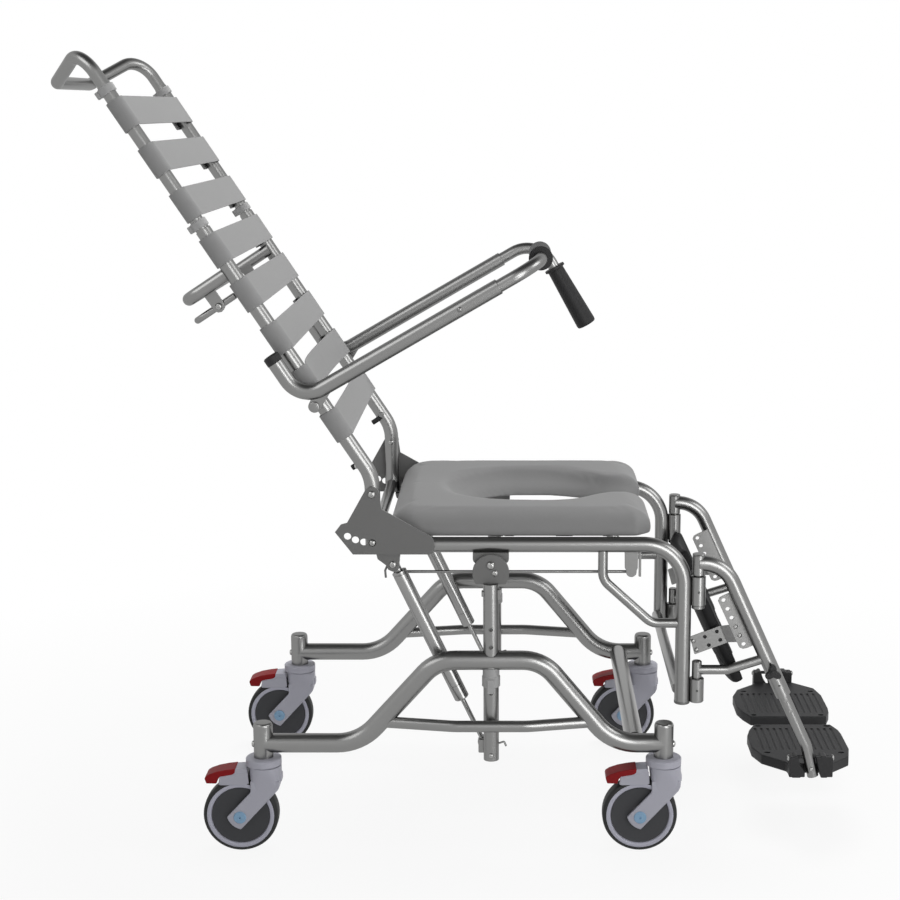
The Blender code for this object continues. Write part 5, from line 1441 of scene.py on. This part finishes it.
    def knobs(self) -> None:
        """Three-lobed clamping knobs on the outside of the hangers."""
        outline = []
        for i in range(48):
            turn = 2 * pi * i / 48
            r = 0.0107 + 0.0038 * cos(3 * (turn - radians(92)))
            outline.append((self.knob[0] + r * cos(turn), self.knob[1] + r * sin(turn)))
        star = Bench.slab(outline, -0.2510, 0.009, 0.0014, 3)
        neck, = Bench.pins([self.knob], -0.244, -0.2340, 0.0070, 24)
        hub, = Bench.pins([self.knob], -0.2530, -0.2480, 0.0055, 24)
        self.pair(Bench.join(star, neck, Bench.ease(hub, 0.001)), "star_knob", "legrest_{}", GRIP)

    def calf_pads(self) -> None:
        """Dished foam pads behind the calves."""
        ahead = Vector((-self.run.z, 0, self.run.x))
        top = Vector((self.pad_at[0], 0, self.pad_at[1])) - self.run * 0.0815

        def dish(share: float, front: float) -> Vector:
            """A point across the pad's upper end, on a face that lies front of its middle."""
            bow = 0.011 * (2 * share - 1) ** 2
            return top + ACROSS * (share * self.pad_wide - self.strip_in + 0.0008) + ahead * (bow + front)

        shares = [i / 16 for i in range(17)]
        outline = [dish(s, 0.0100) for s in shares] + [dish(s, -0.0085) for s in reversed(shares)]
        pad = Bench.ease(Bench.plate(outline, self.run * self.pad_long), 0.004, 3, 50)
        pad = Upholstery(0.003, 0.0010).swell(pad, 0.300)
        for piece in self.pair(pad, "calf_cushion", "legrest_{}", CALF, "calf_pad"):
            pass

    def leg_tubes(self) -> None:
        """Inner tubes that slide in the hangers, with dimples and foot bolt."""
        y = -self.half
        path = [self.down(self.end_z) - self.run * 0.105, self.down(self.knee_z), (0.5905, y, 0.117)]
        tube = Bench.ease(Bench.tube(path, (0.04,), self.leg_r), 0.0005)
        Bench.cut(tube, *Bench.pins(((0.5402, 0.2519), (0.5486, 0.2334)), y - 0.012, y - 0.0085, 0.0028))
        self.pair(tube, "foot_tube", "leg_tube_{}", STEEL, "leg_tube")
        self.bolts("foot_tube_bolt", "leg_tube_{}", ((0.5860, y - self.leg_r, 0.1320), OUT, 0.0034))

    def footplates(self) -> None:
        """Grooved footplates with hinge ears."""
        outline = [(0.499, 0.076), (0.506, 0.048), (0.518, 0.020), (0.655, 0.020), (0.664, 0.048), (0.666, 0.068),
                   (0.666, 0.141), (0.6585, 0.180), (0.622, 0.2155), (0.613, 0.235), (0.602, 0.235), (0.602, 0.2125),
                   (0.569, 0.2125), (0.569, 0.235), (0.554, 0.235), (0.5475, 0.206), (0.511, 0.171), (0.499, 0.135)]
        plate = Bench.plate([(x, -w, self.plate_z) for x, w in outline], UP * self.plate_h)
        Bench.ease(plate, 0.0020, 3, 25)
        tools = []
        for i in range(13):
            x = 0.517 + i * 0.0112
            tools.append(Bench.rod((x, -0.148, 0.1350), (x, -0.041, 0.1350), 0.0028, 12))
        drill = Bench.spindle([(0.126, 0.0036), (0.142, 0.0036)], (0, 0, 0), UP, 20)
        for x, w in ((0.5245, 0.029), (0.6465, 0.029), (0.5225, 0.161), (0.6490, 0.161)):
            tools.append(Bench.copy(drill, Matrix.Translation((x, -w, 0)) @ Matrix.Scale(1.5, 4, (1, 0, 0))))
        Bench.drop(drill)
        Bench.cut(plate, Bench.join(*tools))
        shapes = ([(0.5490, 0.1180), (0.5490, 0.1515), (0.5510, 0.1530), (0.5560, 0.1530), (0.5575, 0.1555),
                   (0.5620, 0.1555), (0.5632, 0.1530), (0.5645, 0.1480), (0.5680, 0.1380), (0.5755, 0.1260),
                   (0.5755, 0.1180)],
                  [(0.6220, 0.1180), (0.6220, 0.1515), (0.6200, 0.1530), (0.6110, 0.1530), (0.6095, 0.1555),
                   (0.6015, 0.1555), (0.6000, 0.1530), (0.5935, 0.1530), (0.5985, 0.1300), (0.6022, 0.1180)])
        ears = [Bench.slab(shape, -0.2355, 0.021, 0.0014, 3) for shape in shapes]
        pin = Bench.rod((0.555, -self.half, 0.1506), (0.616, -self.half, 0.1506), 0.003, 16)
        self.pair(Bench.join(plate, *ears, pin), "footplate_tread", "footplate_{}", FOOT, "footplate")
        self.bolts("hinge_bolts", "footplate_{}", ((0.549, -self.half, self.hinge_z), (-1, 0, 0), 0.0050),
                   ((0.622, -self.half, self.hinge_z), (1, 0, 0), 0.0050))

    def build(self) -> None:
        """Model and dress both legrests."""
        self.hangers()
        self.strips()
        self.knobs()
        self.calf_pads()
        self.leg_tubes()
        self.footplates()


@dataclass
class Studio:
    """Camera, floor, soft lamps and pale surroundings."""

    eye: tuple[float, float, float] = (0.0918, -3.0275, 1.219)
    pitch: float = radians(79.0)
    lens: float = 70.53
    shift: float = -0.0732
    fill: float = 0.34
    near: float = 0.7
    far: float = 1.6
    middle: tuple[float, float, float] = (0.1, 0.0, 0.6)

    def camera(self) -> None:
        """Set up the photograph's viewpoint."""
        Bench.rest()
        bpy.ops.object.camera_add(location=self.eye, rotation=(self.pitch, 0, 0))
        camera = bpy.context.object
        camera.data.sensor_width = 36.0
        camera.data.lens = self.lens
        camera.data.shift_x = self.shift
        bpy.context.scene.camera = camera

    def seen(self, board: NodeBoard) -> bpy.types.NodeSocket:
        """Share of rays that look at the surroundings: camera, glossy and transmission rays.

        Args:
            board: Node board of the material or world.

        Returns:
            The socket with the share.
        """
        rays = board.add("LightPath").outputs
        share = rays["Is Camera Ray"]
        for kind in ("Is Glossy Ray", "Is Transmission Ray"):
            share = board.add("Math", (0, share), (1, rays[kind]), operation="MAXIMUM").outputs[0]
        return share

    def surroundings(self) -> None:
        """White surroundings for what looks at them, softer light for the rest."""
        world = bpy.data.worlds.new("studio")
        bpy.context.scene.world = world
        world.use_nodes = True
        board = NodeBoard(world.node_tree)
        heading = board.add("TexCoord").outputs["Generated"]
        height = board.add("SeparateXYZ", ("Vector", heading)).outputs["Z"]
        pale = board.ramp(height, (0.0, (1, 1, 1)), (0.60, (1, 1, 1)), (0.88, (0.12, 0.12, 0.12)))
        seen = board.add("Background", ("Color", pale), Strength=1.0)
        fill = board.add("Background", Color=(1, 1, 1, 1), Strength=self.fill)
        mix = board.add("MixShader", ("Fac", self.seen(board)), (1, fill.outputs[0]), (2, seen.outputs[0]))
        board.add("OutputWorld", ("Surface", mix.outputs[0]))

    def floor(self) -> None:
        """Pale floor that stays white and keeps the shadow."""
        Bench.rest()
        bpy.ops.mesh.primitive_plane_add(size=60.0, location=(0, 0, 0))
        floor = Bench.fresh()
        bpy.ops.mesh.subdivide(number_cuts=3)
        Bench.rest()
        floor.name = "studio_floor"
        made = bpy.data.materials.new("studio_floor")
        made.use_nodes = True
        board = NodeBoard(made.node_tree)
        matt = board.add("BsdfDiffuse", Color=(0.74, 0.74, 0.74, 1))
        glow = board.add("Emission", Color=(1, 1, 1, 1), Strength=1.0)
        reach = board.add("VectorMath", ("Vector", board.add("TexCoord").outputs["Object"]), operation="LENGTH")
        blank = board.add("MapRange", ("Value", reach.outputs["Value"]), From_Min=self.near, From_Max=self.far,
                          To_Min=0.90, To_Max=1.0)
        share = board.add("Math", (0, self.seen(board)), (1, blank.outputs["Result"]), operation="MULTIPLY")
        mix = board.add("MixShader", ("Fac", share.outputs[0]), (1, matt.outputs[0]), (2, glow.outputs[0]))
        board.add("OutputMaterial", ("Surface", mix.outputs[0]))
        floor.data.materials.append(made)

    def lamp(self, name: str, place: Point, target: Point, size: tuple[float, float], power: float) -> Piece:
        """Add one soft lamp.

        Args:
            name: Its name.
            place: Where it hangs.
            target: What it points at.
            size: Width and height of its face.
            power: Its power in watts.

        Returns:
            The lamp.
        """
        Bench.rest()
        turn = (Vector(target) - Vector(place)).to_track_quat("-Z", "Y").to_euler()
        bpy.ops.object.light_add(type="AREA", location=place, rotation=turn)
        lamp = bpy.context.object
        lamp.name = name
        lamp.data.shape = "RECTANGLE"
        lamp.data.size, lamp.data.size_y = size
        lamp.data.energy = power
        return lamp

    def build(self) -> None:
        """Set the stage and the plain view of it."""
        self.camera()
        self.surroundings()
        self.floor()
        top = self.lamp("top_softbox", (0.3, 1.2, 3.8), self.middle, (1.8, 1.8), 75.0)
        top.visible_glossy = False
        self.lamp("front_softbox", (2.5, -0.5, 2.2), self.middle, (1.2, 1.2), 20.0)
        self.lamp("high_strip", (1.02, -2.90, 1.30), (-0.30, -0.20, 1.0), (0.8, 1.5), 22.0)
        for name, place, target, size, power in (
                ("low_strip", (1.16, -1.65, 0.75), (0.15, -0.10, 1.85), (0.42, 1.7), 12.0),
                ("rear_softbox", (-1.8, -1.5, 2.5), self.middle, (2.0, 1.2), 18.0)):
            self.lamp(name, place, target, size, power).visible_diffuse = False
        bpy.context.scene.view_settings.view_transform = "Standard"


def main() -> None:
    """Build the chair piece by piece, then its stage."""
    logging.basicConfig(level=logging.INFO, format="%(message)s")
    base, back = Base(), Backrest()
    for group in (base, Casters(base), Posts(), SeatFrame(), GasSprings(), SeatPad(), back, Arms(back), Legrests(),
                  Studio()):
        group.build()


if __name__ == "__main__":
    main()
